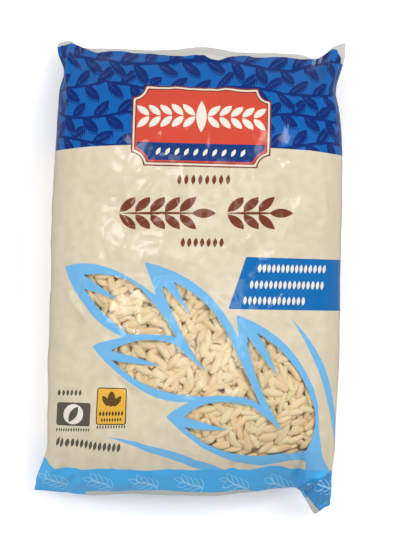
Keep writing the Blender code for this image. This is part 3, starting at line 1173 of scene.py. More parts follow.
    def shake_fins(self, points: Array, length: Array) -> Array:
        """How far the two end fins wave and crimp, the same for both of their layers.

        Args:
            points: the points of the smooth form.
            length: each point's place along the film, beyond 1 in the fins.

        Returns:
            n rows of three shifts in metres.
        """
        fin = np.clip(np.abs(length) - 1.0, 0.0, 1.0)
        line = np.stack([points[:, 0], np.where(length > 0, *self.slices[1]), 0.004 * fin], axis=1)
        wide, fine = (SoftNoise(cell, self.seed + 11 + index).at(line)
                      for index, cell in enumerate(self.fin_cells))
        crimp = np.sin(2.0 * math.pi * fin * self.form.fin_width / self.crimp_pitch) * ramp(fin, 0.0, 0.1)
        lift = self.fin_wave * (wide + 0.5 * fine) * fin + self.crimp * crimp
        return np.stack([0.0 * lift, self.fin_lean * np.sign(length) * lift, lift], axis=1)


def reach_of(panes: Sequence[Field], margin: float) -> Pair:
    """The corners of a box round all panes and a margin beyond them, in metres."""
    low, high = box_of([corner for pane in panes for corner in pane.corners])
    return low * MM - margin, high * MM + margin


def nearest_pane(panes: Sequence[Field], seen: Array) -> Array:
    """How far spots in metres are from the nearest pane, in mm, negative inside one."""
    return np.min([pane.distance(seen / MM) for pane in panes], axis=0)


@dataclass
class RiceLayer:
    """One layer of grains that lie side by side under the film, found by pushing them apart.

    Attributes:
        cover: how many times over they would cover the area, each filling this share of its box.
        beads: the sizes of three beads along a grain, as shares of its width, that push.
    """

    panes: list[Field]
    seed: int
    length: float = 0.0142
    lengths: Range = (0.78, 1.14)
    width: float = 0.0053
    widths: Range = (0.86, 1.12)
    margin: float = 0.008
    cover: float = 1.28
    share: float = 0.78
    rounds: int = 110
    beads: tuple[float, float, float] = (0.80, 1.0, 0.80)
    push: float = 0.30
    twist: float = 0.8

    def settle(self) -> Array:
        """Draws the grains and pushes them apart.

        Returns:
            A row for each grain: x, y, heading, length and width.
        """
        draw = np.random.default_rng(self.seed)
        low, high = reach_of(self.panes, self.margin)
        count = int(self.cover * float(np.prod(high - low)) / (self.share * self.length * self.width))
        spots = low + draw.random((count, 2)) * (high - low)
        spots = spots[nearest_pane(self.panes, spots) < self.margin / MM]
        heading = draw.uniform(0.0, math.pi, len(spots))
        length = self.length * draw.uniform(*self.lengths, len(spots))
        width = self.width * draw.uniform(*self.widths, len(spots))
        beads = np.linspace(-1.0, 1.0, len(self.beads))
        owner = np.repeat(np.arange(len(spots)), len(beads))
        radius = (0.5 * width[:, None] * np.array(self.beads)).reshape(-1)
        for _ in range(self.rounds):
            direction = np.stack([np.cos(heading), np.sin(heading)], axis=1)
            arms = (0.5 * length - 0.35 * width)[:, None] * beads[None, :]
            offset = (arms[:, :, None] * direction[:, None, :]).reshape(-1, 2)
            centre = spots[owner] + offset
            gap = centre[:, None, :] - centre[None, :, :]
            distance = np.sqrt((gap**2).sum(2)) + 1e-9
            overlap = np.maximum(radius[:, None] + radius[None, :] - distance, 0.0)
            overlap[owner[:, None] == owner[None, :]] = 0.0
            push = (gap * (overlap / distance)[:, :, None]).sum(1)
            shift = np.zeros_like(spots)
            np.add.at(shift, owner, push)
            twist = np.zeros(len(spots))
            np.add.at(twist, owner, offset[:, 0] * push[:, 1] - offset[:, 1] * push[:, 0])
            spots = spots + self.push * shift
            heading = heading + self.twist * twist / (0.25 * length) ** 2
        kept = nearest_pane(self.panes, spots) < self.margin / MM
        return np.column_stack([spots, heading, length, width])[kept]


@dataclass(frozen=True)
class GrainShape:
    """A puffed grain about 1 long: a blunt spindle with a crease, a bend and soft lumps.

    Attributes:
        blunt: how blunt its ends are, from blunter to more pointed.
        groove_width: width of its crease, in radians round the grain.
    """

    seed: int
    segments: tuple[int, int] = (12, 9)
    blunt: Range = (0.42, 0.58)
    taper: float = 0.14
    groove_width: float = 0.40
    groove_depth: float = 0.20
    ridge: float = 0.05
    lump: float = 0.11
    lump_cell: float = 0.26
    bend: float = 0.08

    def make(self) -> tuple[Array, list[list[int]], Array]:
        """Builds the grain along X.

        Returns:
            Its vertices, its faces, and how deep in the crease each vertex lies.
        """
        draw = np.random.default_rng(self.seed + 100)
        mesh = bmesh.new()
        around, along = self.segments
        bmesh.ops.create_uvsphere(mesh, u_segments=around, v_segments=along, radius=0.5)
        points = np.array([vertex.co[:] for vertex in mesh.verts])
        faces = [[vertex.index for vertex in face.verts] for face in mesh.faces]
        mesh.free()
        along = points[:, 2] * 2.0
        angle = np.arctan2(points[:, 1], points[:, 0])
        blunt = draw.uniform(*self.blunt)
        taper = draw.uniform(-self.taper, self.taper)
        radius = 0.5 * np.clip(1.0 - along**2, 0.0, 1.0) ** blunt * (1.0 + taper * along)
        from_crease = np.angle(np.exp(1j * (angle - 0.5 * math.pi)))
        groove = np.exp(-((from_crease / self.groove_width) ** 2))
        ridge = self.ridge * np.cos(3.0 * angle + draw.uniform(0, 6))
        radius = radius * (1.0 - self.groove_depth * groove * (1.0 - along**4) + ridge)
        radius *= 1.0 + self.lump * SoftNoise(self.lump_cell, self.seed).at(points * (1, 1, 1.3))
        bend = draw.uniform(-self.bend, self.bend) * (1.0 - along**2)
        made = np.stack([along * 0.5, radius * np.cos(angle) + bend, radius * np.sin(angle)], axis=1)
        return made, faces, groove


@dataclass
class RiceBed:
    """The puffed rice behind the clear panes: layers of loose grains over a core.

    Attributes:
        unevenness: how much deeper a grain may lie in its layer.
        top_tilt: how far the top layer's grains tilt, in radians; deep_tilt is the others'.
        film_gap: how far grains stay below the film; more by aside_gap for each mm off the panes.
        pressing: rows across and along of the grains that press through the printed film.
    """

    form: BagForm
    seed: int = 11
    kinds: int = 7
    layer_depths: tuple[float, ...] = (0.0007, 0.0015, 0.0027, 0.0044)
    unevenness: float = 0.0007
    grain_depth: float = 0.0043
    thickness: Range = (0.86, 1.06)
    top_tilt: float = 0.05
    deep_tilt: float = 0.16
    film_gap: float = 0.0006
    aside_gap: float = 0.0006
    pressing: tuple[tuple[float, float, float], ...] = ((-0.082, 0.088, 0.0082), (-0.132, 0.136, 0.0076))
    core_depth: float = 0.0082
    core_lumps: float = 0.0015
    core_limit: Spot = (0.088, 0.1)
    core_least: float = 0.012
    core_thickness: float = 0.006
    panes: dict[str, Field] = field(init=False)
    every_pane: list[Field] = field(init=False)
    layers: list[Array] = field(init=False)

    def __post_init__(self) -> None:
        """Settles the layers."""
        self.panes = {name: Field(curved(sides)) for name, sides in PANES.items()}
        self.every_pane = list(self.panes.values())
        seeds = range(self.seed, self.seed + len(self.layer_depths))
        self.layers = [RiceLayer(self.every_pane, seed).settle() for seed in seeds]

    def pressing_grains(self) -> Array:
        """The grains that the film lies on: those in the panes, and more under the printed film.

        Returns:
            A row for each grain: x, y, heading, length and width.
        """
        draw = np.random.default_rng(self.seed + 30)
        x, y = np.meshgrid(*(np.arange(*places) for places in self.pressing))
        spots = np.column_stack([x.ravel(), y.ravel()]) + draw.uniform(-0.0026, 0.0026, (x.size, 2))
        spots = spots[nearest_pane(self.every_pane, spots) > 6.0]
        shape = [draw.uniform(low, high, len(spots))
                 for low, high in ((0.0, math.pi), (0.011, 0.015), (0.0044, 0.0054))]
        return np.concatenate([self.layers[0], np.column_stack([spots, *shape])])

    def film_at(self, seen: Array) -> Pair:
        """The film's height and outward normal over spots seen from above.

        Args:
            seen: n rows of two coordinates.

        Returns:
            n heights, and n unit rows.
        """
        across, length = self.unfold(seen)

        def there(aside: float, ahead: float) -> Array:
            """The film's points a little aside of and ahead of the spots."""
            return self.form.point(across + aside, length + ahead, np.ones(len(seen), bool))

        return there(0.0, 0.0)[:, 2], outward(there, 0.004)

    def unfold(self, seen: Array) -> Pair:
        """The places across and along the film of spots seen from above, not quite up to its edges."""
        x, y = seen.T
        across = np.clip(self.form.across(x, y), -0.99, 0.99)
        return across, np.clip(y / self.form.seal_reach(self.form.chord(across), y), -0.99, 0.99)

    def make(self, name: str) -> Piece:
        """Builds the loose grains of one pane as one mesh.

        Args:
            name: which pane.

        Returns:
            The piece.
        """
        kinds = [GrainShape(self.seed + kind).make() for kind in range(self.kinds)]
        draw = np.random.default_rng(self.seed + 50 + len(name))
        points, faces, tints, warmths, creases = [], [], [], [], []
        total = 0
        for depth, layer in zip(self.layer_depths, self.layers):
            away = {pane: shape.distance(layer[:, :2] / MM) for pane, shape in self.panes.items()}
            layer = layer[away[name] <= np.min(list(away.values()), axis=0)]
            heights, normals = self.film_at(layer[:, :2])
            for (x, y, heading, length, width), z, normal in zip(layer, heights, normals):
                shape, cells, crease = kinds[draw.integers(self.kinds)]
                thick = self.grain_depth * draw.uniform(*self.thickness)
                roll = draw.uniform(-math.pi, math.pi)
                tilt = draw.normal(0.0, self.top_tilt if depth == self.layer_depths[0] else self.deep_tilt)
                grain = shape * (length, width, width)
                cosine, sine = math.cos(roll), math.sin(roll)
                grain = np.stack([grain[:, 0], cosine * grain[:, 1] - sine * grain[:, 2],
                                  (sine * grain[:, 1] + cosine * grain[:, 2]) * thick / width], axis=1)
                forward = np.array((math.cos(heading), math.sin(heading), 0.0))
                forward -= normal * (forward @ normal)
                forward /= np.linalg.norm(forward)
                side = np.cross(normal, forward)
                rise = normal * math.cos(tilt) + forward * math.sin(tilt)
                ahead = forward * math.cos(tilt) - normal * math.sin(tilt)
                sunk = depth + draw.uniform(0.0, self.unevenness)
                centre = np.array((x, y, z)) - normal * (sunk + 0.5 * thick)
                points.append(grain @ np.stack([ahead, side, rise]) + centre)
                faces += [[corner + total for corner in cell] for cell in cells]
                total += len(shape)
                tints.append(np.full(len(shape), draw.random()))
                warmths.append(np.full(len(shape), draw.random()))
                creases.append(crease)
        made = np.concatenate(points)
        heights, normals = self.film_at(made[:, :2])
        beyond = nearest_pane(self.every_pane, made[:, :2])
        gap = self.film_gap + self.aside_gap * np.maximum(beyond - 3.0, 0.0)
        made[:, 2] = np.minimum(made[:, 2], heights - gap / normals[:, 2])
        piece = mesh_object(f"puffed_rice_grains_{name}", made, faces)
        # The crease depth drives the painted shade in the grains' creases.
        for attribute, values in (("tint", tints), ("warmth", warmths), ("crease", creases)):
            set_attribute(piece, attribute, np.concatenate(values))
        piece.data.shade_smooth()
        piece.data.materials.append(RiceFinish(f"puffed rice {name}").make())
        return piece

    def make_core(self) -> Piece:
        """The rice further in, as one lumpy closed core under the panes.

        Returns:
            The piece.
        """
        mesh = bmesh.new()
        bmesh.ops.create_grid(mesh, x_segments=90, y_segments=70, size=1.0)
        low, high = reach_of(self.every_pane, 0.008)
        flat = np.array([vertex.co[:2] for vertex in mesh.verts])
        seen = low + 0.5 * (flat + 1.0) * (np.minimum(high, self.core_limit) - low)
        heights, _ = self.film_at(seen)
        lumps = SoftNoise(0.006, self.seed + 7).at(np.column_stack([seen, 0 * heights]))
        levels = np.maximum(heights - self.core_depth + self.core_lumps * lumps, self.core_least)
        for vertex, spot, level in zip(mesh.verts, seen, levels):
            vertex.co = (*spot, level)
        thicken(mesh, -self.core_thickness)
        piece = bmesh_object("puffed_rice_core", mesh)
        # Painted shade: a crease value of 0.5 browns the whole core a little, and shade=0.96 dims it.
        for attribute, value in (("tint", 0.45), ("warmth", 0.5), ("crease", 0.5)):
            set_attribute(piece, attribute, np.full(len(piece.data.vertices), value))
        piece.data.shade_smooth()
        piece.data.materials.append(RiceFinish("rice further in", shade=0.96).make())
        return piece


def link(piece: Piece) -> Piece:
    """Puts an object in the scene."""
    bpy.context.scene.collection.objects.link(piece)
    return piece


def thicken(mesh: bmesh.types.BMesh, depth: float) -> None:
    """Makes a sheet a closed plate, whose other face is depth higher."""
    raised = bmesh.ops.extrude_face_region(mesh, geom=mesh.faces[:])
    others = [item for item in raised["geom"] if isinstance(item, bmesh.types.BMVert)]
    bmesh.ops.translate(mesh, verts=others, vec=(0.0, 0.0, depth))
    bmesh.ops.recalc_face_normals(mesh, faces=mesh.faces)


def bmesh_object(name: str, mesh: bmesh.types.BMesh) -> Piece:
    """Turns a bmesh into an object of the scene, and frees it."""
    data = bpy.data.meshes.new(name)
    mesh.to_mesh(data)
    mesh.free()
    return link(bpy.data.objects.new(name, data))


def mesh_object(name: str, points: Array, faces: list[list[int]]) -> Piece:
    """Makes an object from vertices, and faces that are each given by their vertices."""
    data = bpy.data.meshes.new(name)
    data.from_pydata(points.tolist(), [], faces)
    data.update()
    return link(bpy.data.objects.new(name, data))


def set_attribute(piece: Piece, name: str, values: Array) -> None:
    """Gives each vertex of a piece a number, or three."""
    single = values.ndim == 1
    attribute = piece.data.attributes.new(name, "FLOAT" if single else "FLOAT_VECTOR", "POINT")
    attribute.data.foreach_set("value" if single else "vector", values.astype(np.float32).ravel())


@dataclass
class NodeTree:
    """A material's or a node group's nodes, with short ways to add and join them."""

    tree: bpy.types.NodeTree
    material: bpy.types.Material | None = None

    @classmethod
    def of_material(cls, name: str) -> NodeTree:
        """The empty nodes of a new material."""
        material = bpy.data.materials.new(name)
        material.use_nodes = True
        material.node_tree.nodes.clear()
        return cls(material.node_tree, material)

    def put(self, term: object, socket: Socket) -> None:
        """Gives an input a term: an output, a colour or a number."""
        if isinstance(term, Socket):
            self.tree.links.new(term, socket)
        elif isinstance(term, tuple):
            socket.default_value = (*term, 1.0)
        else:
            socket.default_value = term

    def add(self, kind: str, *terms: object, **settings: object) -> bpy.types.Node:
        """Adds a node.

        Args:
            kind: its type.
            terms: what its first inputs take.
            settings: its properties.

        Returns:
            The node.
        """
        node = self.tree.nodes.new(kind)
        for name, value in settings.items():
            setattr(node, name, value)
        for term, socket in zip(terms, node.inputs):
            self.put(term, socket)
        return node

    def attribute(self, name: str, output: str = "Fac") -> Socket:
        """The value of a vertex attribute."""
        return self.add("ShaderNodeAttribute", attribute_name=name).outputs[output]

    def maths(self, operation: str, *terms: object) -> Socket:
        """One sum, whose terms are outputs or numbers."""
        return self.add("ShaderNodeMath", *terms, operation=operation).outputs[0]

    def mix(self, share: object, first: object, second: object) -> Socket:
        """A mix of two colours, each an output or a colour.

        Args:
            share: how much of the second, an output or a number.
            first: the first colour.
            second: the second colour.

        Returns:
            The mixed colour's output.
        """
        node = self.add("ShaderNodeMix", data_type="RGBA", clamp_factor=True)
        for socket, term in zip((node.inputs[0], node.inputs[6], node.inputs[7]), (share, first, second)):
            self.put(term, socket)
        return node.outputs[2]

    def noise(self, scale: float, detail: float = 2.0) -> Socket:
        """Noise in the object's own coordinates."""
        place = self.add("ShaderNodeTexCoord").outputs["Object"]
        node = self.add("ShaderNodeTexNoise", place)
        node.inputs["Scale"].default_value = scale
        node.inputs["Detail"].default_value = detail
        return node.outputs["Fac"]

    def spread(self, value: object, low: float, high: float, start: float = 0.0,
               end: float = 1.0) -> Socket:
        """Maps low to start and high to end, and holds them beyond."""
        return self.add("ShaderNodeMapRange", value, low, high, start, end, clamp=True).outputs[0]

    def bump(self, height: Socket, strength: float, distance: float) -> Socket:
        """A bumped normal."""
        node = self.add("ShaderNodeBump")
        for name, term in (("Strength", strength), ("Distance", distance), ("Height", height)):
            self.put(term, node.inputs[name])
        return node.outputs["Normal"]

    def surface(self, **sockets: object) -> Socket:
        """A Principled shader whose sockets are named with _ for spaces."""
        shader = self.add("ShaderNodeBsdfPrincipled")
        for name, value in sockets.items():
            self.put(value, shader.inputs[name.replace("_", " ")])
        return shader.outputs[0]

    def end(self, shader: Socket) -> bpy.types.Material:
        """Joins a shader to the material's output."""
        self.add("ShaderNodeOutputMaterial", shader)
        return self.material


@dataclass(frozen=True)
class GrainRow:
    """A printed row of small grains, drawn by the material, in mm and degrees.

    Attributes:
        start: middle of the first place; run is how far the last is from it, in X and Y.
        grain: a grain's length and width.
        heading: the grains' direction, from the row's own.
        lift: how far the grains are off the row's line.
        paired: whether a second grain mirrors each, on the other side of the line.
        depth: how far in from its edge a grain is printed.
        repeat: the row comes again at this distance along X.
    """

    start: Spot
    run: Spot
    count: int
    grain: Size
    heading: float = 84.0
    lift: float = 0.0
    paired: bool = False
    depth: float = 99.0
    repeat: float = 5000.0

    def settings(self) -> dict[str, float]:
        """What the row's node group takes.

        Returns:
            A number for each of its inputs.
        """
        length = math.hypot(*self.run)
        lean = math.radians(self.heading)
        return {
            "x": self.start[0], "y": self.start[1],
            "row cosine": self.run[0] / length, "row sine": self.run[1] / length,
            "pitch": length / max(self.count - 1, 1), "last": self.count - 1,
            "half length": 0.5 * self.grain[0], "half width": 0.5 * self.grain[1],
            "grain cosine": math.cos(lean), "grain sine": math.sin(lean),
            "lift": self.lift, "paired": float(self.paired), "depth": self.depth, "repeat": self.repeat,
        }


@dataclass(frozen=True)
class GrainRowNodes:
    """The node group that draws a grain row from its settings."""

    name: str = "grain row"

    def make(self) -> bpy.types.NodeTree:
        """Builds the group, once.

        Returns:
            The group.
        """
        if self.name in bpy.data.node_groups:
            return bpy.data.node_groups[self.name]
        group = bpy.data.node_groups.new(self.name, "ShaderNodeTree")
        group.interface.new_socket("film", in_out="INPUT", socket_type="NodeSocketVector")
        for name in GrainRow((0, 0), (1, 0), 1, (1, 1)).settings():
            group.interface.new_socket(name, in_out="INPUT", socket_type="NodeSocketFloat")
        group.interface.new_socket("printed", in_out="OUTPUT", socket_type="NodeSocketFloat")
        nodes = NodeTree(group)
        given = nodes.add("NodeGroupInput").outputs
        plus, less, times = (partial(nodes.maths, kind) for kind in ("ADD", "SUBTRACT", "MULTIPLY"))
        film = nodes.add("ShaderNodeSeparateXYZ", given["film"]).outputs
        half = times(given["repeat"], 0.5)
        x = nodes.maths("WRAP", less(film[0], given["x"]), half, times(half, -1.0))
        y = less(film[1], given["y"])
        along = plus(times(x, given["row cosine"]), times(y, given["row sine"]))
        off = less(times(y, given["row cosine"]), times(x, given["row sine"]))
        place = nodes.maths("ROUND", nodes.maths("DIVIDE", along, given["pitch"]))
        place = nodes.maths("MINIMUM", nodes.maths("MAXIMUM", place, 0.0), given["last"])
        along = less(along, times(place, given["pitch"]))
        mirrored = times(given["paired"], less(nodes.maths("ABSOLUTE", off), off))
        off = less(plus(off, mirrored), given["lift"])
        ahead = plus(times(along, given["grain cosine"]), times(off, given["grain sine"]))
        aside = less(times(off, given["grain cosine"]), times(along, given["grain sine"]))
        share = nodes.maths("DIVIDE", ahead, given["half length"])
        width = times(given["half width"], less(1.0, times(share, share)))
        inside = less(width, nodes.maths("ABSOLUTE", aside))
        printed = times(nodes.maths("GREATER_THAN", inside, 0.0),
                        nodes.maths("LESS_THAN", inside, given["depth"]))
        nodes.add("NodeGroupOutput",
                  times(printed, nodes.maths("LESS_THAN", nodes.maths("ABSOLUTE", share), 1.0)))
        return group


@dataclass(frozen=True)
class Blade:
    """A printed blade of grass between two arcs with the same ends, drawn by the material, in mm.

    Attributes:
        inner: how far its inner arc bows off the straight line, to the left of it.
        outer: how far its outer arc does.
    """

    start: Spot
    end: Spot
    inner: float
    outer: float

    def circle(self, bow: float) -> tuple[float, float, float]:
        """The centre and the radius of the circle that an arc lies on."""
        run = np.subtract(self.end, self.start)
        half = 0.5 * float(np.hypot(*run))
        radius = (half**2 + bow**2) / (2.0 * bow)
        left = np.array((-run[1], run[0])) / (2.0 * half)
        centre = 0.5 * np.add(self.start, self.end) - (radius - bow) * left
        return float(centre[0]), float(centre[1]), radius

    def printed(self, nodes: NodeTree, film: Sequence[Socket]) -> Socket:
        """Where the blade is printed.

        Args:
            nodes: the material's nodes.
            film: the film's X and Y.

        Returns:
            1 inside the outer circle and outside the inner one, and 0 elsewhere.
        """
        sums = nodes.maths
        away = []
        for bow in (self.outer, self.inner):
            x, y, radius = self.circle(bow)
            square = sums("ADD", sums("POWER", sums("ABSOLUTE", sums("SUBTRACT", film[0], x)), 2.0),
                          sums("POWER", sums("ABSOLUTE", sums("SUBTRACT", film[1], y)), 2.0))
            away.append(sums("SUBTRACT", sums("SQRT", square), radius))
        return sums("MULTIPLY", sums("LESS_THAN", away[0], 0.0), sums("GREATER_THAN", away[1], 0.0))


@dataclass(frozen=True)
class Tone:
    """One colour printed from a field.

    Attributes:
        below: it is printed where the field is less than this, in mm.
        above: and more than this.
        within: it is printed only inside this other field.
        hatched: whether it is broken into fine upright strokes.
    """

    ink: Ink
    colour: Colour
    below: float = 0.0
    above: float = -99.0
    within: Ink | None = None
    hatched: bool = False


CREAM = from_screen(220, 208, 183)
PALE = from_screen(232, 226, 212)
BROWN = from_screen(116, 56, 34)
SLATE = from_screen(88, 82, 74)
OLIVE = from_screen(86, 66, 40)
AIR = from_screen(112, 180, 226)
FROST = from_screen(160, 212, 242)
RIM = from_screen(112, 44, 40)


@dataclass(frozen=True)
class PrintedFilmFinish:
    """Glossy film printed cream all over, with fields of colour, rows of grains and painted shade between
    grains.
    """

    name: str = "printed film"
    cream_in_grain_shade_and_mottle: Colour = from_screen(204, 190, 164)
    stroke_pitch: float = 1.5
    stroke_lean: float = 0.05
    stroke_drift: float = 2.0
    stroke_width: float = 0.28
    tones: tuple[Tone, ...] = (
        Tone(Ink.ROYAL, from_screen(4, 94, 172)),
        Tone(Ink.SHADE, from_screen(0, 44, 116), within=Ink.ROYAL, hatched=True),
        Tone(Ink.NAVY, from_screen(0, 38, 110), within=Ink.ROYAL),
        Tone(Ink.SKY, AIR),
        Tone(Ink.BAND, from_screen(73, 176, 238)),
        Tone(Ink.PANEL, from_screen(6, 104, 174)),
        Tone(Ink.LABEL, RIM),
        Tone(Ink.LABEL, from_screen(226, 212, 190), -0.9, -2.1),
        Tone(Ink.LABEL, from_screen(208, 74, 56), -2.8),
        Tone(Ink.STRIP, from_screen(18, 56, 120)),
        Tone(Ink.GREY, SLATE),
        Tone(Ink.YELLOW, OLIVE, 0.7),
        Tone(Ink.YELLOW, from_screen(228, 176, 64)),
        Tone(Ink.UMBER, from_screen(96, 66, 34)),
        Tone(Ink.WHITE, PALE),
        # Painted shade of the fold at the folded corner, darker than the band's blue.
        Tone(Ink.FOLD_SHADE, from_screen(50, 144, 208)),
        Tone(Ink.BARE, from_screen(204, 203, 196)),
    )
    blades: tuple[Blade, ...] = (
        Blade((64.9, -25.2), (95.0, -105.0), 5.3, 9.7),
        Blade((-49.8, -104.8), (55.1, -138.9), 0.2, 5.4),
    )
    rows: tuple[tuple[Colour, GrainRow], ...] = (
        (BROWN, GrainRow((-40.4, 38.2), (38, 1), 5, (15, 5.7), heading=40, lift=5.5, paired=True)),
        (BROWN, GrainRow((-21, 38.7), (1, 0.026), 1, (54, 1.7), heading=0)),
        (BROWN, GrainRow((8, 39.4), (1, 0.026), 1, (15.4, 6), heading=0)),
        (BROWN, GrainRow((28.8, 40), (19, 0.5), 3, (15, 5.7), heading=40, lift=5.5, paired=True)),
        (BROWN, GrainRow((38.6, 40.2), (1, 0.026), 1, (34, 1.7), heading=0)),
        (BROWN, GrainRow((57.4, 40.7), (1, 0.026), 1, (15, 5.8), heading=0)),
        (BROWN, GrainRow((-8, 60.3), (31, 0.8), 8, (6.4, 2.7))),
        (BROWN, GrainRow((-4.8, 20.4), (24.6, 0.6), 7, (6.2, 2.7))),
        (PALE, GrainRow((44.4, 5.2), (42, 0.5), 15, (5.6, 2.2))),
        (PALE, GrainRow((39.6, -5.2), (46, 0.5), 16, (5.6, 2.2))),
        (PALE, GrainRow((35.6, -15.4), (37.6, 0.4), 13, (5.6, 2.2))),
        (PALE, GrainRow((-3, 101.4), (-29, -1), 5, (10.8, 4.2), heading=40, lift=3.7, paired=True)),
        (PALE, GrainRow((13, 101.4), (29, -1), 5, (10.8, 4.2), heading=40, lift=3.7, paired=True)),
        (PALE, GrainRow((5, 101.2), (0, 1), 1, (20, 6.6), heading=0)),
        (PALE, GrainRow((-22, 78.2), (54, 0), 10, (5.4, 2.4), heading=60)),
        (SLATE, GrainRow((-82, -77.6), (13.6, 0.4), 6, (4.2, 1.8))),
        (SLATE, GrainRow((-82.4, -101.2), (20.6, 0.5), 14, (2.4, 1))),
        (SLATE, GrainRow((-56, -98.6), (17, 0.4), 11, (2.2, 1))),
        (OLIVE, GrainRow((-54.4, -90), (13.6, 0.3), 8, (3.4, 1.4))),
        (OLIVE, GrainRow((-53.4, -94), (11.6, 0.3), 8, (2.6, 1.1))),
        (SLATE, GrainRow((-81, -108.6), (38.6, -3), 14, (5.8, 2.2))),
        (FROST, GrainRow((-48, -136), (-10.5, 3.4), 4, (6.8, 3.3), heading=42, lift=2.4, paired=True,
                         depth=0.36, repeat=29)),
        (FROST, GrainRow((-61.4, -131.6), (-1, 0.33), 1, (6.4, 3.1), heading=0, depth=0.36, repeat=29)),
        (FROST, GrainRow((-53, -134.4), (-1, 0.33), 1, (15, 0.8), heading=0, repeat=29)),
    )

    def strokes(self, nodes: NodeTree, film: Sequence[Socket]) -> Socket:
        """Fine upright strokes, as cut in wood: from 0 to 0.5 and back across each.

        Args:
            nodes: the material's nodes.
            film: the film's X, its Y and the way round it, in mm.

        Returns:
            The strokes' output.
        """
        drift = nodes.maths("MULTIPLY", nodes.noise(45.0), self.stroke_drift)
        line = nodes.maths("ADD", nodes.maths("MULTIPLY", film[2], 1.0 / self.stroke_pitch), drift)
        line = nodes.maths("ADD", line, nodes.maths("MULTIPLY", film[1], self.stroke_lean))
        return nodes.maths("PINGPONG", line, 0.5)

    def printed(self, nodes: NodeTree, tone: Tone, strokes: Socket) -> Socket:
        """Where a tone is printed: 1 there and 0 elsewhere.

        Args:
            nodes: the material's nodes.
            tone: the tone.
            strokes: the fine strokes' output.

        Returns:
            The mask's output.
        """
        edge = nodes.attribute(tone.ink.value)
        masks = [nodes.maths("LESS_THAN", edge, tone.below)]
        if tone.above > -99.0:
            masks.append(nodes.maths("GREATER_THAN", edge, tone.above))
        if tone.within:
            masks.append(nodes.maths("LESS_THAN", nodes.attribute(tone.within.value), 0.0))
        if tone.hatched:
            masks.append(nodes.maths("LESS_THAN", strokes, self.stroke_width))
        mask = masks[0]
        for other in masks[1:]:
            mask = nodes.maths("MULTIPLY", mask, other)
        return mask

    def make(self) -> bpy.types.Material:
        """Builds the material.

        Returns:
            The material.
        """
        nodes = NodeTree.of_material(self.name)
        cloud = nodes.spread(nodes.noise(80.0, 3.0), 0.35, 0.65)
        # Painted shade: the cream darkens towards its shaded colour between the grains that press on the
        # film, where press is low; the cloud noise adds a random mottle.
        shade = nodes.maths("MULTIPLY", nodes.maths("SUBTRACT", 1.0, nodes.attribute("press")), 0.45)
        shade = nodes.maths("ADD", shade, nodes.maths("MULTIPLY", cloud, 0.22))
        colour = nodes.mix(shade, CREAM, self.cream_in_grain_shade_and_mottle)
        film = nodes.attribute("film", "Vector")
        place = nodes.add("ShaderNodeSeparateXYZ", film).outputs
        strokes = self.strokes(nodes, place)
        for tone in self.tones:
            colour = nodes.mix(self.printed(nodes, tone, strokes), colour, tone.colour)
            if tone.ink is Ink.SKY:
                for blade in self.blades:
                    colour = nodes.mix(blade.printed(nodes, place), colour, tone.colour)
        group = GrainRowNodes().make()
        for row_colour, row in self.rows:
            node = nodes.add("ShaderNodeGroup", node_tree=group)
            nodes.put(film, node.inputs["film"])
            for name, number in row.settings().items():
                node.inputs[name].default_value = number
            colour = nodes.mix(node.outputs[0], colour, row_colour)
        smear = nodes.spread(nodes.noise(90.0, 4.0), 0.3, 0.7, 0.11, 0.20)
        shader = nodes.surface(Base_Color=colour, Roughness=smear, Specular_IOR_Level=0.42,
                               Normal=nodes.bump(nodes.noise(160.0, 1.0), 0.12, 0.0004))
        return nodes.end(shader)


@dataclass(frozen=True)
class ClearFilmFinish:
    """Clear glossy film."""

    name: str = "clear film"
    see_through: float = 0.925
    roughness: float = 0.20

    def make(self) -> bpy.types.Material:
        """Builds the material.

        Returns:
            The material.
        """
        nodes = NodeTree.of_material(self.name)
        shine = nodes.surface(Base_Color=(1.0, 1.0, 1.0), Metallic=1.0, Roughness=self.roughness)
        clear = nodes.add("ShaderNodeBsdfTransparent").outputs[0]
        return nodes.end(nodes.add("ShaderNodeMixShader", self.see_through, shine, clear).outputs[0])


@dataclass(frozen=True)
class RiceFinish:
    """Dry puffed rice: cream to tan, some greener, some pinker, with painted shade browning each crease."""

    name: str
    # shade dims every colour, as painted shade for rice that lies further in.
    shade: float = 1.0
    pale: Colour = (0.73, 0.59, 0.35)
    tan: Colour = (0.63, 0.45, 0.235)
    green: Colour = (0.70, 0.61, 0.36)
    pink: Colour = (0.73, 0.50, 0.30)
    crease: Colour = (0.48, 0.28, 0.12)

    def make(self) -> bpy.types.Material:
        """Builds the material.

        Returns:
            The material.
        """
        nodes = NodeTree.of_material(self.name)
        tones = (self.pale, self.tan, self.green, self.pink, self.crease)
        pale, tan, green, pink, crease_shade = (tuple(self.shade * part for part in tone) for tone in tones)
        cloud = nodes.spread(nodes.noise(260.0, 3.0), 0.3, 0.7)
        drawn = nodes.maths("POWER", nodes.attribute("tint"), 1.4)
        share = nodes.maths("ADD", nodes.maths("MULTIPLY", drawn, 0.66), nodes.maths("MULTIPLY", cloud, 0.30))
        colour = nodes.mix(share, pale, tan)
        warmth = nodes.attribute("warmth")
        colour = nodes.mix(nodes.spread(warmth, 0.35, 0.0, 0.0, 0.8), colour, green)
        colour = nodes.mix(nodes.spread(warmth, 0.70, 1.0, 0.0, 0.7), colour, pink)
        # Painted shade: the deeper a point lies in the grain's crease, the more dark brown is mixed in.
        colour = nodes.mix(nodes.maths("MULTIPLY", nodes.attribute("crease"), 0.24), colour, crease_shade)
        fine = nodes.bump(nodes.noise(1100.0, 3.0), 0.35, 0.0003)
        shader = nodes.surface(Base_Color=colour, Roughness=0.78, Specular_IOR_Level=0.25, Normal=fine)
        return nodes.end(shader)


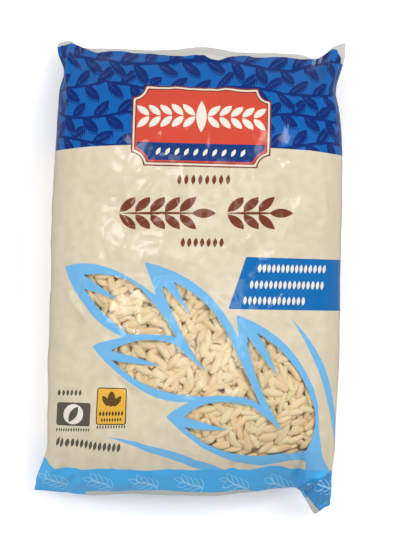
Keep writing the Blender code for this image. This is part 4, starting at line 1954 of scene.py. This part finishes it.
@dataclass(frozen=True)
class SealFinish:
    """Whitish film of two layers, as in the back seam."""

    name: str = "back seam film"
    colour: Colour = from_screen(212, 202, 182)

    def make(self) -> bpy.types.Material:
        """Builds the material.

        Returns:
            The material.
        """
        nodes = NodeTree.of_material(self.name)
        colour = nodes.mix(nodes.spread(nodes.noise(60.0, 3.0), 0.35, 0.65), self.colour, CREAM)
        return nodes.end(nodes.surface(Base_Color=colour, Roughness=0.3, Coat_Weight=0.3, Coat_Roughness=0.09,
                                       Normal=nodes.bump(nodes.noise(420.0), 0.1, 0.0002)))


@dataclass
class FilmBag:
    """The bag of film: one closed skin with the print on it and clear panes cut to the ear.

    Attributes:
        refine_mm: how near a pane's outline the film's cells are halved.
        least_cut: how near the end of an edge a pane's outline may cut it, as a share.
        seam_ridge: height of the back seam's crimps; crimp_pitch is from one to the next.
    """

    form: BagForm
    bed: RiceBed
    sheet: FilmSheet = field(init=False)
    refine_mm: float = 1.6
    least_cut: float = 0.12
    join_gap: float = 0.000002
    table_gap: float = 0.0005
    seam_cells: tuple[int, int] = (6, 270)
    seam_middle: float = 0.004
    seam_width: float = 0.011
    seam_length: float = 0.270
    seam_thickness: float = 0.0005
    seam_ridge: float = 0.0002
    crimp_pitch: float = 0.004

    def __post_init__(self) -> None:
        """Lays out the flat film."""
        self.sheet = FilmSheet(self.form)

    def pane_field(self, flat: Array) -> Array:
        """The distance in mm from flat points to the nearest pane's outline, negative inside."""
        place = self.sheet.place(flat)
        seen = self.sheet.point(flat)[:, :2] / MM
        distance = np.full(len(flat), FAR_MM)
        for pane in self.bed.every_pane:
            low, high = pane.reach()
            near = np.all((seen > low - FAR_MM) & (seen < high + FAR_MM), axis=1) & place.front
            distance[near] = np.minimum(distance[near], pane.distance(seen[near]))
        return distance

    def flat_points(self, mesh: bmesh.types.BMesh) -> Array:
        """The flat coordinates of a bmesh's vertices, which are given their indices."""
        mesh.verts.index_update()
        return np.array([vertex.co[:2] for vertex in mesh.verts])

    def cut_panes(self, mesh: bmesh.types.BMesh) -> None:
        """Cuts the panes' outlines into the flat film.

        Args:
            mesh: the flat film.
        """
        distance = self.pane_field(self.flat_points(mesh))
        near = [face for face in mesh.faces
                if min(abs(distance[vertex.index]) for vertex in face.verts) < self.refine_mm]
        edges = list({edge for face in near for edge in face.edges})
        bmesh.ops.subdivide_edges(mesh, edges=edges, cuts=1, use_grid_fill=True)
        distance = self.pane_field(self.flat_points(mesh))
        crossing = []
        for edge in mesh.edges:
            first, second = (distance[vertex.index] for vertex in edge.verts)
            if (first < 0.0) != (second < 0.0):
                crossing.append((edge, first / (first - second)))
        cuts = []
        for edge, share in crossing:
            share = min(max(share, self.least_cut), 1.0 - self.least_cut)
            _, vertex = bmesh.utils.edge_split(edge, edge.verts[0], share)
            cuts.append(vertex)
        bmesh.ops.connect_verts(mesh, verts=cuts)

    def make(self) -> Piece:
        """Builds the bag.

        Returns:
            The piece.
        """
        mesh = bmesh.new()
        bmesh.ops.create_grid(mesh, x_segments=self.sheet.columns, y_segments=self.sheet.rows, size=1.0)
        self.cut_panes(mesh)
        flat = self.flat_points(mesh)
        inside = self.pane_field(flat)
        for cell in mesh.faces:
            middle = sum(inside[vertex.index] for vertex in cell.verts) / len(cell.verts)
            cell.material_index = 1 if middle < 0.0 else 0
        piece = bmesh_object("film_bag", mesh)
        self.shape(piece, flat)
        self.close(piece)
        piece.data.materials.append(PrintedFilmFinish().make())
        piece.data.materials.append(ClearFilmFinish().make())
        piece.data.shade_smooth()
        return piece

    def shape(self, piece: Piece, flat: Array) -> None:
        """Wraps the flat film round the bag, presses it into relief and prints it.

        Args:
            piece: the flat film.
            flat: its vertices' flat coordinates.
        """
        place = self.sheet.place(flat)
        points = self.sheet.point(flat)
        rolled, far_half = self.sheet.round_the_film(flat)
        relief = FilmRelief(self.form, self.bed.pressing_grains())
        height, press = relief.height(points, rolled, place.front, self.pane_field(flat))
        made = points + self.sheet.normal(flat) * height[:, None]
        made += relief.shake_fins(points, place.length)
        made[:, 2] = np.maximum(made[:, 2], self.table_gap)
        piece.data.vertices.foreach_set("co", made.astype(np.float32).ravel())
        # press also sets the painted shade in the printed cream between the grains.
        set_attribute(piece, "press", press)

        side = np.where(far_half, self.form.left(points[:, 1]), self.form.right(points[:, 1]))
        seen_x = np.where(place.front, points[:, 0], 2.0 * side - points[:, 0])
        seen = np.column_stack([seen_x, points[:, 1]]) / MM
        true = np.column_stack([rolled, points[:, 1]]) / MM
        set_attribute(piece, "film", np.column_stack([seen, true[:, 0]]))
        for ink, values in BagPrint(self.form, seen, true, place.front).make().items():
            set_attribute(piece, ink.value, values)

    def close(self, piece: Piece) -> None:
        """Joins the tube of film along its left side and closes its two ends.

        Args:
            piece: the film.
        """
        mesh = bmesh.new()
        mesh.from_mesh(piece.data)
        edge_verts = [vertex for vertex in mesh.verts if vertex.is_boundary]
        bmesh.ops.remove_doubles(mesh, verts=edge_verts, dist=self.join_gap)
        rims = [edge for edge in mesh.edges if edge.is_boundary]
        bmesh.ops.holes_fill(mesh, edges=rims, sides=0)
        bmesh.ops.triangulate(mesh, faces=[cell for cell in mesh.faces if len(cell.verts) > 6])
        mesh.to_mesh(piece.data)
        mesh.free()

    def make_seam(self) -> Piece:
        """The seam along the back: a crimped strip of film that lies flat against the bag.

        Returns:
            The piece.
        """
        mesh = bmesh.new()
        across, along = self.seam_cells
        bmesh.ops.create_grid(mesh, x_segments=across, y_segments=along, size=1.0)
        flat = self.flat_points(mesh)
        y = 0.5 * self.seam_length * flat[:, 1]
        x = self.seam_middle + 0.5 * self.seam_width * flat[:, 0]
        length = y / self.form.seal_reach(x, y)
        back = self.form.point(self.form.across(x, y), length, np.zeros(len(x), bool))[:, 2]
        ridge = self.seam_ridge * np.sin(2.0 * math.pi * y / self.crimp_pitch)
        lower = np.maximum(back - self.seam_thickness + ridge, 0.0)
        for vertex, place in zip(mesh.verts, zip(x, y, lower)):
            vertex.co = place
        thicken(mesh, 0.9 * self.seam_thickness)
        piece = bmesh_object("back_seam", mesh)
        piece.data.shade_smooth()
        piece.data.materials.append(SealFinish().make())
        return piece


@dataclass(frozen=True)
class SoftLight:
    """A square soft light that faces the bag, its power in watts.

    Attributes:
        mirrored: whether glossy film mirrors it.
    """

    name: str
    place: tuple[float, float, float]
    size: float
    power: float
    mirrored: bool = True

    def make(self) -> None:
        """Builds the light."""
        data = bpy.data.lights.new(self.name, "AREA")
        data.size = self.size
        data.energy = self.power
        lamp = link(bpy.data.objects.new(self.name, data))
        lamp.location = self.place
        lamp.visible_glossy = self.mirrored
        aim = Vector((0.0, 0.0, 0.05)) - Vector(self.place)
        lamp.rotation_euler = aim.to_track_quat("-Z", "Y").to_euler()


@dataclass(frozen=True)
class Studio:
    """A pale floor, soft light and a camera that looks down on the bag."""

    view_height_mm: float = 345.6
    aim_mm: Spot = (6.6, 3.2)
    aim_height: float = 0.050
    distance: float = 5.0
    roll_deg: float = 1.5
    sensor: float = 36.0
    room: float = 0.27
    glow: float = 0.10
    lights: tuple[SoftLight, ...] = (
        SoftLight("key light", (1.5, 0.6, 1.35), 1.4, 23.0, mirrored=False),
        SoftLight("fill light", (-1.6, 0.1, 1.3), 1.4, 20.0, mirrored=False),
        SoftLight("front light", (0.1, -1.5, 1.4), 1.4, 9.6, mirrored=False),
        SoftLight("back light", (-0.2, 1.5, 1.4), 1.4, 5.6, mirrored=False),
        SoftLight("middle light", (0.15, -0.04, 1.70), 0.36, 1.3),
        SoftLight("right light", (0.56, 0.60, 1.66), 0.34, 2.6),
        SoftLight("left light", (-0.54, 0.28, 1.70), 0.38, 3.1),
        SoftLight("far light", (0.82, 0.94, 1.58), 0.55, 6.2),
    )

    def make(self) -> None:
        """Builds the camera, straight above and rolled as the bag leans, the floor and the light."""
        data = bpy.data.cameras.new("camera")
        data.sensor_width = self.sensor
        data.lens = self.sensor * (self.distance - self.aim_height) / (self.view_height_mm * MM)
        data.clip_end = 20.0
        camera = link(bpy.data.objects.new("camera", data))
        camera.location = (self.aim_mm[0] * MM, self.aim_mm[1] * MM, self.distance)
        camera.rotation_euler = (0.0, 0.0, math.radians(self.roll_deg))
        bpy.context.scene.camera = camera

        mesh = bmesh.new()
        bmesh.ops.create_grid(mesh, x_segments=1, y_segments=1, size=4.0)
        bmesh.ops.translate(mesh, verts=mesh.verts, vec=(0.0, 0.0, -0.0003))
        floor = bmesh_object("floor", mesh)
        nodes = NodeTree.of_material("pale floor")
        floor.data.materials.append(nodes.end(nodes.surface(
            Base_Color=(0.97, 0.97, 0.97), Roughness=0.9, Specular_IOR_Level=0.0,
            Emission_Color=(1.0, 1.0, 1.0), Emission_Strength=self.glow)))
        floor.visible_glossy = False

        world = bpy.data.worlds.new("white room")
        world.use_nodes = True
        sky = world.node_tree.nodes["Background"].inputs
        sky["Color"].default_value = (1.0, 1.0, 1.0, 1.0)
        sky["Strength"].default_value = self.room
        bpy.context.scene.world = world
        for light in self.lights:
            light.make()
        bpy.context.scene.view_settings.view_transform = "Standard"


def dress(piece: Piece, slot: str, *nodes: str) -> None:
    """Lets a piece ride on the bag's body and stand for solids.

    Args:
        piece: the piece.
        slot: the record's material slot; not used.
        nodes: the solids that it stands for.
    """
    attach(piece, "root")
    if nodes:
        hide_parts(*nodes)
    triangles = sum(len(cell.vertices) - 2 for cell in piece.data.polygons)
    log.info("%s: %d triangles", piece.name, triangles)


def main() -> None:
    """Builds the studio, the rice and the bag of film round it, and notes their size."""
    logging.basicConfig(level=logging.INFO, format="%(message)s", force=True)
    Studio().make()
    form = BagForm()
    bed = RiceBed(form)
    for name in PANES:
        dress(bed.make(name), "puffed_rice", f"puffed_rice_{name}")
    dress(bed.make_core(), "puffed_rice")
    bag = FilmBag(form, bed)
    dress(bag.make(), "printed_film", "bag")
    dress(bag.make_seam(), "printed_film")


if __name__ == "__main__":
    main()
